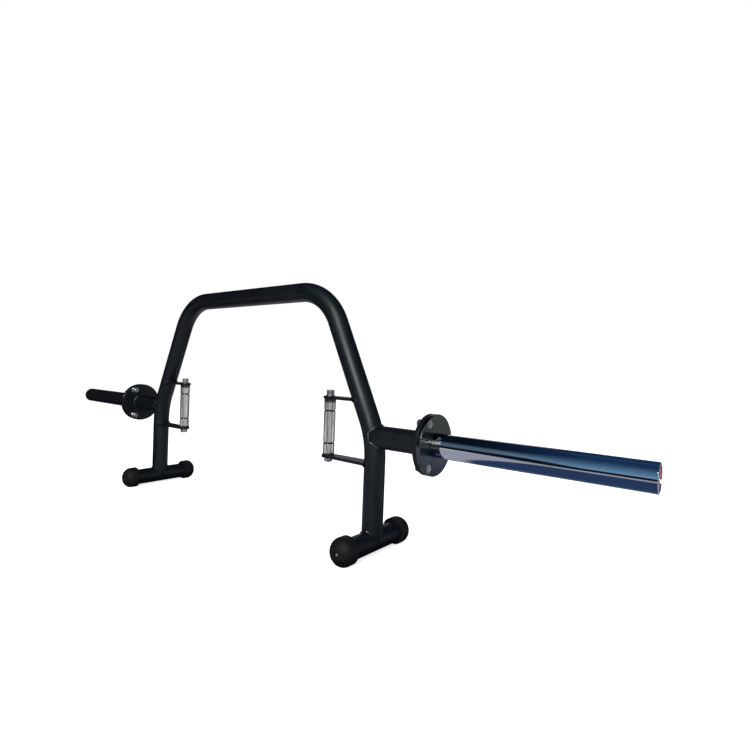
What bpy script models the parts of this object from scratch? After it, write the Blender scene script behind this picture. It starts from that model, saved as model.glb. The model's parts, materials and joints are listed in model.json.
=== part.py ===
"""Trap bar on its feet: an arched tube frame, two bolted rotating sleeves and two bolted grips.

X runs along the bar, Y from the front feet to the rear ones and Z up, all in metres. The origin is
on the floor below the middle of the bar.
"""

import math

import bmesh
import bpy
from mathutils import Matrix, Vector

# Between pieces that touch, seat or turn in each other
CLEARANCE = 0.0003

# Points of one mesh that are nearer than this are the same point
WELD_DISTANCE = 0.00001

# Faces that meet at more than this keep a sharp edge
SHARP_ANGLE = math.radians(32)

# Arched frame tube
FRAME_TUBE_DIAMETER = 0.048
FRAME_TUBE_WALL = 0.003
LEG_SPACING = 0.9176
ARCH_HEIGHT = 0.570
KNEE_HEIGHT = 0.2292
SIDE_LEAN = math.radians(25.4)
KNEE_BEND_RADIUS = 0.210
SHOULDER_BEND_RADIUS = 0.137

# Foot tubes and their rubber caps
FOOT_TUBE_DIAMETER = 0.048
FOOT_TUBE_WALL = 0.003
FOOT_TUBE_LENGTH = 0.195
FOOT_TUBE_RISE = 0.0044
CAP_DIAMETER = 0.062
CAP_AXIS_RISE = 0.0014
CAP_DOME_DEPTH = 0.024
CAP_SKIRT = 0.017
CAP_EDGE = 0.0016
FOOT_PLUG_THICKNESS = 0.008
CAP_SCREW_DIAMETER = 0.006
CAP_SCREW_HEAD_DIAMETER = 0.0105
CAP_SCREW_HEAD_HEIGHT = 0.0033
CAP_SCREW_SEAT = 0.0165

# Stub tubes and bolted flanges
SLEEVE_HEIGHT = 0.2333
STUB_TUBE_DIAMETER = 0.0508
STUB_TUBE_WALL = 0.0035
STUB_REACH = 0.1377
FLANGE_DIAMETER = 0.127
FLANGE_THICKNESS = 0.0091
FLANGE_EDGE = 0.0015
FLANGE_BOLT_CIRCLE = 0.102
FLANGE_BOLT_ANGLES = {"upper": math.radians(60), "rear": math.radians(180),
                      "lower": math.radians(300)}
FLANGE_SCREW_DIAMETER = 0.010
FLANGE_SCREW_HEAD_DIAMETER = 0.020
FLANGE_NUT_WIDTH = 0.0165
FLANGE_NUT_HEIGHT = 0.010
FLANGE_NUT_COLLAR_DIAMETER = 0.021
FLANGE_NUT_COLLAR_THICKNESS = 0.002
FLANGE_SCREW_OVERHANG = 0.002
SLEEVE_RECESS_DEPTH = 0.0005
SLEEVE_RECESS_MARGIN = 0.0006

# Spindles, bushes and rotating sleeves
SLEEVE_DIAMETER = 0.050
SLEEVE_LENGTH = 0.3935
SLEEVE_EDGE = 0.001
SPINDLE_DIAMETER = 0.030
BUSH_WALL = 0.003
BUSH_LENGTH = 0.030
BUSH_FLANGE_DIAMETER = 0.041
BUSH_FLANGE_THICKNESS = 0.002
BUSH_PROUD = 0.0006
SLEEVE_BORE_RELIEF = 0.002
END_LIP = 0.0012
END_WASHER_THICKNESS = 0.006
END_PLAY = 0.0002
END_SCREW_DIAMETER = 0.010
END_SCREW_HEAD_DIAMETER = 0.016
END_SCREW_HEAD_HEIGHT = 0.003
END_SCREW_LENGTH = 0.028

# Grips and their bracket plates
GRIP_SPACING = 0.635
GRIP_HEIGHT = 0.2412
GRIP_DIAMETER = 0.028
GRIP_LENGTH = 0.1338
GRIP_EDGE = 0.001
GRIP_GROOVE_INSET = 0.026
GRIP_GROOVE_WIDTH = 0.0045
GRIP_GROOVE_DEPTH = 0.001
PLATE_THICKNESS = 0.0064
PLATE_TIP_WIDTH = 0.033
PLATE_ARM_WIDTH = 0.041
PLATE_FLARE_RADIUS = 0.010
PLATE_ROOT_SETBACK = 0.016
GRIP_BOLT_DIAMETER = 0.012
GRIP_BOLT_HEAD_DIAMETER = 0.018
GRIP_BOLT_HEAD_HEIGHT = 0.012
GRIP_BOLT_OVERHANG = 0.0013
GRIP_WASHER_DIAMETER = 0.022
GRIP_WASHER_THICKNESS = 0.0018
GRIP_NUT_WIDTH = 0.018
GRIP_NUT_HEIGHT = 0.010

# Sockets and chamfers of the small fasteners
SOCKET_SHARE = 0.5
SMALL_EDGE = 0.0006

# Facets
TUBE_SIDES = 20
FLANGE_SIDES = 32
SLEEVE_SIDES = 28
SPINDLE_SIDES = 20
CAP_SIDES = 20
SMALL_SIDES = 12
KNEE_SEGMENTS = 3
SHOULDER_SEGMENTS = 7
DOME_SEGMENTS = 5
TIP_SEGMENTS = 8
FLARE_SEGMENTS = 3

# Places that follow from the sizes above
FOOT_Z = FOOT_TUBE_DIAMETER / 2 + FOOT_TUBE_RISE
ARCH_Z = FOOT_Z + ARCH_HEIGHT
SLEEVE_Z = FOOT_Z + SLEEVE_HEIGHT
GRIP_Z = FOOT_Z + GRIP_HEIGHT
LEG_X = LEG_SPACING / 2
GRIP_X = GRIP_SPACING / 2
FRAME_FLANGE_X = LEG_X + STUB_REACH
SLEEVE_FLANGE_X = FRAME_FLANGE_X + FLANGE_THICKNESS + CLEARANCE
STOP_FACE_X = SLEEVE_FLANGE_X + FLANGE_THICKNESS
RECESS_X = STOP_FACE_X - SLEEVE_RECESS_DEPTH
SLEEVE_X = RECESS_X + CLEARANCE + BUSH_PROUD
SLEEVE_END_X = SLEEVE_X + SLEEVE_LENGTH
SPINDLE_END_X = SLEEVE_END_X - END_LIP - END_WASHER_THICKNESS - CLEARANCE
UPPER_PLATE_Z = GRIP_Z + GRIP_LENGTH / 2 + CLEARANCE
LOWER_PLATE_Z = GRIP_Z - GRIP_LENGTH / 2 - CLEARANCE - PLATE_THICKNESS
PILOT_DEPTH = FLANGE_THICKNESS / 2

SIDES = {"right": 1, "left": -1}
ENDS = {"front": -1, "rear": 1}


def new_collection(name):
    """Makes a collection in the scene."""
    collection = bpy.data.collections.new(name)
    bpy.context.scene.collection.children.link(collection)
    return collection


def make_finish(name, colour, roughness, metallic):
    """Makes a Principled material."""
    finish = bpy.data.materials.new(name)
    finish.use_nodes = True
    shader = finish.node_tree.nodes["Principled BSDF"]
    shader.inputs["Base Color"].default_value = (*colour, 1.0)
    shader.inputs["Roughness"].default_value = roughness
    shader.inputs["Metallic"].default_value = metallic
    finish.diffuse_color = (*colour, 1.0)
    return finish


def add_object(name, data, finish):
    """Puts a mesh or curve in the part's collection, or among the cutters if it has no finish."""
    obj = bpy.data.objects.new(name, data)
    if finish is None:
        cutters.objects.link(obj)
        obj.display_type = "WIRE"
        obj.hide_render = True
    else:
        part.objects.link(obj)
        data.materials.append(finish)
    return obj


def shade(mesh):
    """Shades a mesh smooth, with its real edges sharp."""
    mesh.shade_smooth()
    mesh.set_sharp_from_angle(angle=SHARP_ANGLE)


def evaluated_mesh(obj):
    """Returns an object's mesh as its modifiers or curve settings make it."""
    bpy.context.view_layer.update()
    depsgraph = bpy.context.evaluated_depsgraph_get()
    return bpy.data.meshes.new_from_object(obj.evaluated_get(depsgraph))


def aim(obj, location, direction):
    """Moves an object to location and turns its own Z towards direction."""
    obj.location = location
    obj.rotation_mode = "QUATERNION"
    obj.rotation_quaternion = Vector(direction).to_track_quat("Z", "Y")


def turned(name, profile, sides, finish, location=(0, 0, 0), direction=(0, 0, 1)):
    """Turns a profile of (radius, height) points, top to bottom, about the object's own Z.

    A profile that starts off the axis is a closed loop and makes a ring.
    """
    mesh = bpy.data.meshes.new(name)
    outline = bmesh.new()
    points = [outline.verts.new((radius, 0, height)) for radius, height in profile]
    for start, end in zip(points, points[1:]):
        outline.edges.new((start, end))
    if profile[0][0] > 0:
        outline.edges.new((points[-1], points[0]))
    outline.to_mesh(mesh)
    outline.free()
    obj = add_object(name, mesh, finish)
    screw = obj.modifiers.new("turn", "SCREW")
    screw.steps = sides
    screw.render_steps = sides
    screw.use_merge_vertices = True
    screw.merge_threshold = WELD_DISTANCE
    obj.data = evaluated_mesh(obj)
    obj.modifiers.clear()
    bpy.data.meshes.remove(mesh)
    shade(obj.data)
    aim(obj, location, direction)
    return obj


def disc_profile(radius, bottom, top):
    """Profile of a solid disc or pin with plain edges."""
    return [(0, top), (radius, top), (radius, bottom), (0, bottom)]


def ring_profile(outer, inner, bottom, top):
    """Profile of a ring with plain edges."""
    return [(outer, top), (outer, bottom), (inner, bottom), (inner, top)]


def prism(name, width, bottom, top, finish):
    """Makes a hexagonal prism on Z, as wide across its flats as given."""
    mesh = bpy.data.meshes.new(name)
    shape = bmesh.new()
    radius = width / 2 / math.cos(math.pi / 6)
    bmesh.ops.create_cone(shape, cap_ends=True, segments=6, radius1=radius, radius2=radius,
                          depth=top - bottom, matrix=Matrix.Translation((0, 0, (top + bottom) / 2)))
    shape.to_mesh(mesh)
    shape.free()
    return add_object(name, mesh, finish)


def combine(obj, other, operation="DIFFERENCE"):
    """Adds a Boolean modifier that cuts obj by other, or keeps what they share."""
    boolean = obj.modifiers.new(other.name, "BOOLEAN")
    boolean.operation = operation
    boolean.solver = "EXACT"
    boolean.object = other


def template(obj, finish):
    """Returns the finished mesh of a piece that has several copies, and removes the piece."""
    mesh = evaluated_mesh(obj)
    mesh.materials.clear()
    mesh.materials.append(finish)
    shade(mesh)
    bpy.data.objects.remove(obj)
    return mesh


def place_copy(name, mesh, matrix):
    """Puts an object that shares a template's mesh at a place."""
    copy = bpy.data.objects.new(name, mesh)
    part.objects.link(copy)
    copy.matrix_world = matrix
    return copy


def frame_towards(location, direction):
    """Returns the matrix that moves to location and turns Z towards direction."""
    turn = Vector(direction).to_track_quat("Z", "Y").to_matrix().to_4x4()
    return Matrix.Translation(location) @ turn


def rounded_path(corners, radii, segments):
    """Returns a path through corners with each inner one rounded to its radius."""
    path = [corners[0]]
    bends = zip(corners, corners[1:], corners[2:], radii, segments)
    for before, corner, after, radius, count in bends:
        back = (before - corner).normalized()
        ahead = (after - corner).normalized()
        half_angle = back.angle(ahead) / 2
        tangent = radius / math.tan(half_angle)
        centre = corner + (back + ahead).normalized() * radius / math.sin(half_angle)
        start = (corner + back * tangent - centre).normalized()
        end = (corner + ahead * tangent - centre).normalized()
        path += [centre + start.slerp(end, step / count) * radius for step in range(count + 1)]
    path.append(corners[-1])
    return path


def arch_path():
    """Returns the axis of the frame tube, from one foot tube's axis over to the other's."""
    shoulder_x = LEG_X - (ARCH_HEIGHT - KNEE_HEIGHT) * math.tan(SIDE_LEAN)
    half = [Vector((LEG_X, 0, FOOT_Z)), Vector((LEG_X, 0, FOOT_Z + KNEE_HEIGHT)),
            Vector((shoulder_x, 0, ARCH_Z))]
    other_half = [Vector((-corner.x, 0, corner.z)) for corner in reversed(half)]
    radii = (KNEE_BEND_RADIUS, SHOULDER_BEND_RADIUS, SHOULDER_BEND_RADIUS, KNEE_BEND_RADIUS)
    segments = (KNEE_SEGMENTS, SHOULDER_SEGMENTS, SHOULDER_SEGMENTS, KNEE_SEGMENTS)
    return rounded_path(half + other_half, radii, segments)


def frame_axis_x(height):
    """Returns how far from the middle the frame tube's axis is at a height."""
    path = arch_path()
    for below, above in zip(path, path[1:]):
        if below.z <= height <= above.z:
            share = (height - below.z) / (above.z - below.z)
            return below.lerp(above, share).x
    raise ValueError("the frame tube doesn't reach this height")


def curve_through(name, points, cyclic=False):
    """Returns curve data with one straight-sided spline through the points."""
    curve = bpy.data.curves.new(name, "CURVE")
    spline = curve.splines.new("POLY")
    spline.points.add(len(points) - 1)
    for point, position in zip(spline.points, points):
        point.co = (*position, 1)
    spline.use_cyclic_u = cyclic
    return curve


def object_from_curve(name, curve, finish):
    """Turns a curve into a closed mesh with its caps welded on, and makes the mesh's object."""
    route = bpy.data.objects.new(name + "_route", curve)
    cutters.objects.link(route)
    mesh = evaluated_mesh(route)
    bpy.data.objects.remove(route)
    bpy.data.curves.remove(curve)
    welded = bmesh.new()
    welded.from_mesh(mesh)
    bmesh.ops.remove_doubles(welded, verts=welded.verts, dist=WELD_DISTANCE)
    welded.to_mesh(mesh)
    welded.free()
    mesh.materials.clear()
    shade(mesh)
    return add_object(name, mesh, finish)


def tube_along(name, path, radius, capped, finish):
    """Makes a round tube or bar along a path, as a mesh."""
    curve = curve_through(name, path)
    curve.dimensions = "3D"
    curve.bevel_depth = radius
    curve.bevel_resolution = TUBE_SIDES // 2 - 2
    curve.use_fill_caps = capped
    return object_from_curve(name, curve, finish)


def make_hollow(obj, wall):
    """Thickens an open tube inwards into a wall."""
    solidify = obj.modifiers.new("wall", "SOLIDIFY")
    solidify.thickness = wall
    solidify.offset = -1
    solidify.use_even_offset = True


def add_arch(foot_cutters):
    """Makes the arched frame tube, coped at both ends to sit on the foot tubes."""
    arch = tube_along("arch_frame", arch_path(), FRAME_TUBE_DIAMETER / 2, False, paint)
    make_hollow(arch, FRAME_TUBE_WALL)
    for cutter in foot_cutters.values():
        combine(arch, cutter)
    return arch


def add_foot(side, sign):
    """Makes one foot tube and its plugs, caps and cap screws."""
    radius = FOOT_TUBE_DIAMETER / 2
    bore = radius - FOOT_TUBE_WALL
    half = FOOT_TUBE_LENGTH / 2
    x = sign * LEG_X
    turned(f"foot_tube_{side}", ring_profile(radius, bore, -half, half), TUBE_SIDES, paint,
           (x, 0, FOOT_Z), (0, 1, 0))
    screw_hole = CAP_SCREW_DIAMETER / 2 + CLEARANCE
    plug_profile = ring_profile(bore - CLEARANCE, screw_hole, -FOOT_PLUG_THICKNESS, 0)
    socket_profile = disc_profile(radius + CLEARANCE, -half, CLEARANCE)
    for end, sign_y in ENDS.items():
        outwards = (0, sign_y, 0)
        place = (x, sign_y * half, FOOT_Z), outwards
        cap_place = (x, sign_y * half, FOOT_Z + CAP_AXIS_RISE), outwards
        turned(f"foot_plug_{end}_{side}", plug_profile, SMALL_SIDES, bare_steel, *place)
        cap = turned(f"foot_cap_{end}_{side}", cap_profile(), CAP_SIDES, rubber, *cap_place)
        combine(cap, turned(f"cap_socket_{end}_{side}", socket_profile, TUBE_SIDES, None, *place))
        combine(cap, turned(f"cap_bore_{end}_{side}", cap_bore_profile(), SMALL_SIDES, None, *place))
        combine(cap, floor_cutter)
        place_copy(f"cap_screw_{end}_{side}", cap_screw_mesh, frame_towards(*place))


def cap_profile():
    """Profile of a cap before it is bored, measured outwards from the foot tube's end."""
    radius = CAP_DIAMETER / 2
    angles = [math.pi / 2 * step / DOME_SEGMENTS for step in range(DOME_SEGMENTS + 1)]
    dome = [(radius * math.sin(angle), CAP_DOME_DEPTH * math.cos(angle)) for angle in angles]
    return dome + [(radius, CAP_EDGE - CAP_SKIRT), (radius - CAP_EDGE, -CAP_SKIRT), (0, -CAP_SKIRT)]


def cap_bore_profile():
    """Profile of what is cut from a cap for its screw and the screw's head."""
    hole = CAP_SCREW_DIAMETER / 2 + CLEARANCE
    head_hole = CAP_SCREW_HEAD_DIAMETER / 2 + 2 * CLEARANCE
    above = 2 * CAP_DOME_DEPTH
    return [(0, above), (head_hole, above), (head_hole, CAP_SCREW_SEAT), (hole, CAP_SCREW_SEAT),
            (hole, 0), (0, 0)]


def cap_screw():
    """Returns the mesh of a button-head screw from the cap's seat into the foot tube's plug."""
    shank = CAP_SCREW_DIAMETER / 2
    head = CAP_SCREW_HEAD_DIAMETER / 2
    crown = head / 2
    seat = CAP_SCREW_SEAT + CLEARANCE
    brim = seat + CAP_SCREW_HEAD_HEIGHT / 3
    top = seat + CAP_SCREW_HEAD_HEIGHT
    profile = [(0, top), (crown, top), (head, brim), (head, seat), (shank, seat),
               (shank, -FOOT_PLUG_THICKNESS), (0, -FOOT_PLUG_THICKNESS)]
    return template(turned("cap_screw", profile, SMALL_SIDES, None), zinc)


def bolt_places(x, sign):
    """Returns the frames of the flange bolts at a distance from the middle, with Z outwards."""
    radius = FLANGE_BOLT_CIRCLE / 2
    places = {}
    for name, angle in FLANGE_BOLT_ANGLES.items():
        spot = (sign * x, -radius * math.cos(angle), SLEEVE_Z + radius * math.sin(angle))
        places[name] = frame_towards(spot, (sign, 0, 0))
    return places


def bar_axis(x, sign):
    """Returns where a turned piece on the sleeve's axis starts and where its Z points."""
    return (sign * x, 0, SLEEVE_Z), (sign, 0, 0)


def add_stub(side, sign, arch_cutter):
    """Makes the stub tube between a leg and its flange, coped to fit round the leg."""
    radius = STUB_TUBE_DIAMETER / 2
    profile = ring_profile(radius, radius - STUB_TUBE_WALL, 0, STUB_REACH - CLEARANCE)
    stub = turned(f"stub_tube_{side}", profile, TUBE_SIDES, paint, *bar_axis(LEG_X, sign))
    combine(stub, arch_cutter)


def flange_profile():
    """Profile of a flange plate with chamfered rims, up to where its outer face ends."""
    radius = FLANGE_DIAMETER / 2
    top = FLANGE_THICKNESS
    return [(radius - FLANGE_EDGE, top), (radius, top - FLANGE_EDGE), (radius, FLANGE_EDGE),
            (radius - FLANGE_EDGE, 0), (SPINDLE_DIAMETER / 2 + CLEARANCE, 0)]


def add_flanges(side, sign):
    """Makes the frame's flange and the sleeve's flange, drilled as one for their screws.

    The sleeve's flange is shallowly recessed where the sleeve's root runs.
    """
    bore = SPINDLE_DIAMETER / 2 + CLEARANCE
    recess = SLEEVE_DIAMETER / 2 + SLEEVE_RECESS_MARGIN
    top = FLANGE_THICKNESS
    floor = top - SLEEVE_RECESS_DEPTH
    plain_profile = flange_profile() + [(bore, top)]
    stop_profile = flange_profile() + [(bore, floor), (recess, floor), (recess, top)]
    plates = [
        turned(f"frame_flange_{side}", plain_profile, FLANGE_SIDES, paint,
               *bar_axis(FRAME_FLANGE_X, sign)),
        turned(f"sleeve_flange_{side}", stop_profile, FLANGE_SIDES, gloss_black,
               *bar_axis(SLEEVE_FLANGE_X, sign))]
    for name, place in bolt_places(STOP_FACE_X, sign).items():
        drill = bpy.data.objects.new(f"flange_drill_{name}_{side}", flange_drill_mesh)
        cutters.objects.link(drill)
        drill.display_type = "WIRE"
        drill.hide_render = True
        drill.matrix_world = place
        for plate in plates:
            combine(plate, drill)


def flange_drill():
    """Returns the mesh that drills and countersinks a flange pair, from the stop face at Z = 0."""
    hole = FLANGE_SCREW_DIAMETER / 2 + CLEARANCE
    sink = FLANGE_SCREW_HEAD_DIAMETER / 2 + CLEARANCE
    top = CLEARANCE
    through = -3 * FLANGE_THICKNESS
    profile = [(0, top), (sink + top, top), (hole, hole - sink), (hole, through), (0, through)]
    return template(turned("flange_drill", profile, SMALL_SIDES, None), paint)


def flange_screw():
    """Returns the mesh of a countersunk screw through both flanges, with its head below Z = 0."""
    shank = FLANGE_SCREW_DIAMETER / 2
    head = FLANGE_SCREW_HEAD_DIAMETER / 2
    land = SMALL_EDGE
    head_depth = head - shank
    grip = 2 * FLANGE_THICKNESS + 2 * CLEARANCE
    length = grip + FLANGE_NUT_HEIGHT + FLANGE_SCREW_OVERHANG
    profile = [(0, -land), (head - land, -land), (shank, -head_depth),
               (shank, SMALL_EDGE - length), (shank - SMALL_EDGE, -length), (0, -length)]
    screw = turned("flange_screw", profile, SMALL_SIDES, None)
    depth = (head - shank) * SOCKET_SHARE
    combine(screw, prism("flange_screw_socket", head * SOCKET_SHARE, -land - depth, depth, None))
    return template(screw, zinc)


def hex_nut(name, width, height, hole):
    """Makes a hexagon nut, seated at its own Z = 0 and hanging below it."""
    nut = prism(name, width, -height, 0, None)
    combine(nut, turned(name + "_bore", disc_profile(hole, -2 * height, height), SMALL_SIDES, None))
    return nut


def flange_nut():
    """Returns the mesh of a hexagon nut with a collar, seated at its own Z = 0."""
    hole = FLANGE_SCREW_DIAMETER / 2 + CLEARANCE
    nut = hex_nut("flange_nut", FLANGE_NUT_WIDTH, FLANGE_NUT_HEIGHT, hole)
    radius = FLANGE_NUT_COLLAR_DIAMETER / 2
    collar = ring_profile(radius, hole, -FLANGE_NUT_COLLAR_THICKNESS, 0)
    combine(nut, turned("flange_nut_collar", collar, SMALL_SIDES, None), "UNION")
    return template(nut, zinc)


def add_flange_fasteners(side, sign):
    """Places the screws and nuts that clamp a flange pair."""
    for name, place in bolt_places(STOP_FACE_X, sign).items():
        place_copy(f"flange_screw_{name}_{side}", flange_screw_mesh, place)
    for name, place in bolt_places(FRAME_FLANGE_X - CLEARANCE, sign).items():
        place_copy(f"flange_nut_{name}_{side}", flange_nut_mesh, place)


def add_spindle(side, sign):
    """Makes the fixed spindle, which passes through its flange into the frame's flange."""
    radius = SPINDLE_DIAMETER / 2
    start = FRAME_FLANGE_X + PILOT_DEPTH
    length = SPINDLE_END_X - start
    hole = END_SCREW_DIAMETER / 2 + CLEARANCE
    depth = END_SCREW_LENGTH + CLEARANCE
    profile = [(radius - SMALL_EDGE, length), (radius, length - SMALL_EDGE), (radius, SMALL_EDGE),
               (radius - SMALL_EDGE, 0), (0, 0), (0, length - depth), (hole, length - depth),
               (hole, length)]
    turned(f"spindle_{side}", profile, SPINDLE_SIDES, bare_steel, *bar_axis(start, sign))


def sleeve_bores():
    """Returns the radii of a sleeve's inside: bush seat, relieved middle and flange recess."""
    seat = SPINDLE_DIAMETER / 2 + CLEARANCE + BUSH_WALL + CLEARANCE
    middle = SPINDLE_DIAMETER / 2 + SLEEVE_BORE_RELIEF
    recess = BUSH_FLANGE_DIAMETER / 2 + CLEARANCE
    return seat, middle, recess


def bush_stations():
    """Returns where the inner bush starts and the outer bush ends, along the bar."""
    inner_face = RECESS_X + CLEARANCE
    outer_face = SPINDLE_END_X - END_PLAY
    return inner_face, outer_face


def add_sleeve(side, sign):
    """Makes the rotating sleeve and its pressed-in bushes, under an empty on their axis."""
    axis = bpy.data.objects.new(f"sleeve_axis_{side}", None)
    part.objects.link(axis)
    aim(axis, *bar_axis(SLEEVE_X, sign))
    inner_face, outer_face = bush_stations()
    seat, middle, recess = sleeve_bores()
    radius = SLEEVE_DIAMETER / 2
    top = SLEEVE_LENGTH
    inner_floor = inner_face + BUSH_FLANGE_THICKNESS + CLEARANCE - SLEEVE_X
    outer_floor = outer_face - BUSH_FLANGE_THICKNESS - CLEARANCE - SLEEVE_X
    inner_seat = inner_floor + BUSH_LENGTH
    outer_seat = outer_floor - BUSH_LENGTH
    profile = [(radius - SLEEVE_EDGE, top), (radius, top - SLEEVE_EDGE), (radius, SLEEVE_EDGE),
               (radius - SLEEVE_EDGE, 0), (recess, 0), (recess, inner_floor), (seat, inner_floor),
               (seat, inner_seat), (middle, inner_seat), (middle, outer_seat), (seat, outer_seat),
               (seat, outer_floor), (recess, outer_floor), (recess, top)]
    pieces = [turned(f"sleeve_{side}", profile, SLEEVE_SIDES, chrome, *bar_axis(SLEEVE_X, sign))]

    inside = SPINDLE_DIAMETER / 2 + CLEARANCE
    barrel = inside + BUSH_WALL
    flange = BUSH_FLANGE_DIAMETER / 2
    thick = BUSH_FLANGE_THICKNESS
    bush_profile = [(flange, thick), (flange, 0), (barrel, 0), (barrel, CLEARANCE - BUSH_LENGTH),
                    (inside, CLEARANCE - BUSH_LENGTH), (inside, thick)]
    inner = turned(f"inner_bush_{side}", bush_profile, SPINDLE_SIDES, bronze,
                   (sign * (inner_face + thick), 0, SLEEVE_Z), (-sign, 0, 0))
    outer = turned(f"outer_bush_{side}", bush_profile, SPINDLE_SIDES, bronze,
                   *bar_axis(outer_face - thick, sign))
    pieces += [inner, outer]
    bpy.context.view_layer.update()
    for piece in pieces:
        piece.parent = axis
        piece.matrix_parent_inverse = axis.matrix_world.inverted()


def add_sleeve_end(side, sign):
    """Makes the end washer that keeps the sleeve on its spindle, and the screw that holds it."""
    head = END_SCREW_HEAD_DIAMETER / 2
    hole = END_SCREW_DIAMETER / 2 + CLEARANCE
    head_hole = head + 2 * CLEARANCE
    top = END_WASHER_THICKNESS
    head_floor = top - END_SCREW_HEAD_HEIGHT - 2 * CLEARANCE
    outer = BUSH_FLANGE_DIAMETER / 2 - CLEARANCE
    profile = [(outer - SMALL_EDGE, top), (outer, top - SMALL_EDGE), (outer, 0), (hole, 0),
               (hole, head_floor), (head_hole, head_floor), (head_hole, top)]
    washer_x = SPINDLE_END_X + CLEARANCE
    turned(f"end_washer_{side}", profile, SPINDLE_SIDES, copper_red, *bar_axis(washer_x, sign))

    shank = END_SCREW_DIAMETER / 2
    seat = head_floor + CLEARANCE
    head_top = seat + END_SCREW_HEAD_HEIGHT
    tip = -END_SCREW_LENGTH
    screw_profile = [(0, head_top), (head - SMALL_EDGE, head_top), (head, head_top - SMALL_EDGE),
                     (head, seat), (shank, seat), (shank, tip), (0, tip)]
    screw = turned("end_screw_body", screw_profile, SMALL_SIDES, None)
    depth = END_SCREW_HEAD_HEIGHT * SOCKET_SHARE
    combine(screw, prism("end_screw_socket", shank, head_top - depth, head_top + depth, None))
    place_copy(f"end_screw_{side}", template(screw, zinc), frame_towards(*bar_axis(washer_x, sign)))


def plate_outline(reach):
    """Returns half of a bracket plate's outline, from its tip at -X to its root at reach."""
    tip = PLATE_TIP_WIDTH / 2
    arm = PLATE_ARM_WIDTH / 2
    root = FRAME_TUBE_DIAMETER / 2
    flare = math.acos(1 - (root - arm) / PLATE_FLARE_RADIUS)
    flare_start = reach - PLATE_FLARE_RADIUS * math.sin(flare)
    taper = math.asin((arm - tip) / flare_start)
    points = []
    for step in range(TIP_SEGMENTS + 1):
        angle = math.pi - (math.pi / 2 - taper) * step / TIP_SEGMENTS
        points.append((tip * math.cos(angle), tip * math.sin(angle)))
    for step in range(FLARE_SEGMENTS + 1):
        angle = flare * step / FLARE_SEGMENTS
        rise = PLATE_FLARE_RADIUS * (1 - math.cos(angle))
        points.append((flare_start + PLATE_FLARE_RADIUS * math.sin(angle), arm + rise))
    return points


def add_plate(name, sign, bottom, arch_cutter):
    """Makes one bracket plate, coped to the leg and drilled for the grip's bolt."""
    reach = frame_axis_x(bottom + PLATE_THICKNESS / 2) - PLATE_ROOT_SETBACK - GRIP_X
    half = plate_outline(reach)
    outline = half + [(x, -y) for x, y in reversed(half[1:])]
    curve = curve_through(name, [(sign * x, sign * y, 0) for x, y in outline], cyclic=True)
    curve.dimensions = "2D"
    curve.fill_mode = "BOTH"
    curve.extrude = PLATE_THICKNESS / 2
    plate = object_from_curve(name, curve, paint)
    plate.location = (sign * GRIP_X, 0, bottom + PLATE_THICKNESS / 2)
    hole = GRIP_BOLT_DIAMETER / 2 + CLEARANCE
    drill = turned(name + "_drill", disc_profile(hole, -PLATE_THICKNESS, 2 * PLATE_THICKNESS),
                   SMALL_SIDES, None, (sign * GRIP_X, 0, bottom))
    combine(plate, drill)
    combine(plate, arch_cutter)


def add_grip(side, sign):
    """Makes one grip, bored for its bolt, with a groove near each end."""
    radius = GRIP_DIAMETER / 2
    bore = GRIP_BOLT_DIAMETER / 2 + CLEARANCE
    half = GRIP_LENGTH / 2
    groove = radius - GRIP_GROOVE_DEPTH
    outer_brink = half - GRIP_GROOVE_INSET
    inner_brink = outer_brink - GRIP_GROOVE_WIDTH
    upper = [(radius - GRIP_EDGE, half), (radius, half - GRIP_EDGE), (radius, outer_brink),
             (groove, outer_brink), (groove, inner_brink), (radius, inner_brink)]
    lower = [(r, -height) for r, height in reversed(upper)]
    turned(f"grip_{side}", upper + lower + [(bore, -half), (bore, half)], TUBE_SIDES, chrome,
           (sign * GRIP_X, 0, GRIP_Z))


def add_grip_fasteners(side, sign):
    """Makes the bolt through a grip and both plates, with its washer and nut."""
    x = sign * GRIP_X
    shank = GRIP_BOLT_DIAMETER / 2
    hole = shank + CLEARANCE
    head = GRIP_BOLT_HEAD_DIAMETER / 2
    washer_z = UPPER_PLATE_Z + PLATE_THICKNESS + CLEARANCE
    head_z = washer_z + GRIP_WASHER_THICKNESS + CLEARANCE
    head_top = head_z + GRIP_BOLT_HEAD_HEIGHT
    nut_z = LOWER_PLATE_Z - CLEARANCE
    tip = nut_z - GRIP_NUT_HEIGHT - GRIP_BOLT_OVERHANG

    profile = [(0, head_top), (head - SMALL_EDGE, head_top), (head, head_top - SMALL_EDGE),
               (head, head_z), (shank, head_z), (shank, tip + SMALL_EDGE),
               (shank - SMALL_EDGE, tip), (0, tip)]
    bolt = turned("grip_bolt_body", profile, SMALL_SIDES, None)
    depth = GRIP_BOLT_HEAD_HEIGHT * SOCKET_SHARE
    combine(bolt, prism("grip_bolt_socket", head, head_top - depth, head_top + depth, None))
    place_copy(f"grip_bolt_{side}", template(bolt, zinc), Matrix.Translation((x, 0, 0)))

    washer = ring_profile(GRIP_WASHER_DIAMETER / 2, hole, 0, GRIP_WASHER_THICKNESS)
    turned(f"grip_washer_{side}", washer, SMALL_SIDES, zinc, (x, 0, washer_z))

    nut = hex_nut("grip_nut_body", GRIP_NUT_WIDTH, GRIP_NUT_HEIGHT, hole)
    place_copy(f"grip_nut_{side}", template(nut, zinc), Matrix.Translation((x, 0, nut_z)))


def add_floor_cutter():
    """Makes the block that cuts the caps flat where they stand."""
    mesh = bpy.data.meshes.new("floor_cutter")
    block = bmesh.new()
    depth = CAP_DIAMETER
    size = (2 * LEG_SPACING, 2 * FOOT_TUBE_LENGTH, depth)
    place = Matrix.Translation((0, 0, -depth / 2)) @ Matrix.Diagonal((*size, 1))
    bmesh.ops.create_cube(block, size=1, matrix=place)
    block.to_mesh(mesh)
    block.free()
    return add_object("floor_cutter", mesh, None)


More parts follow.
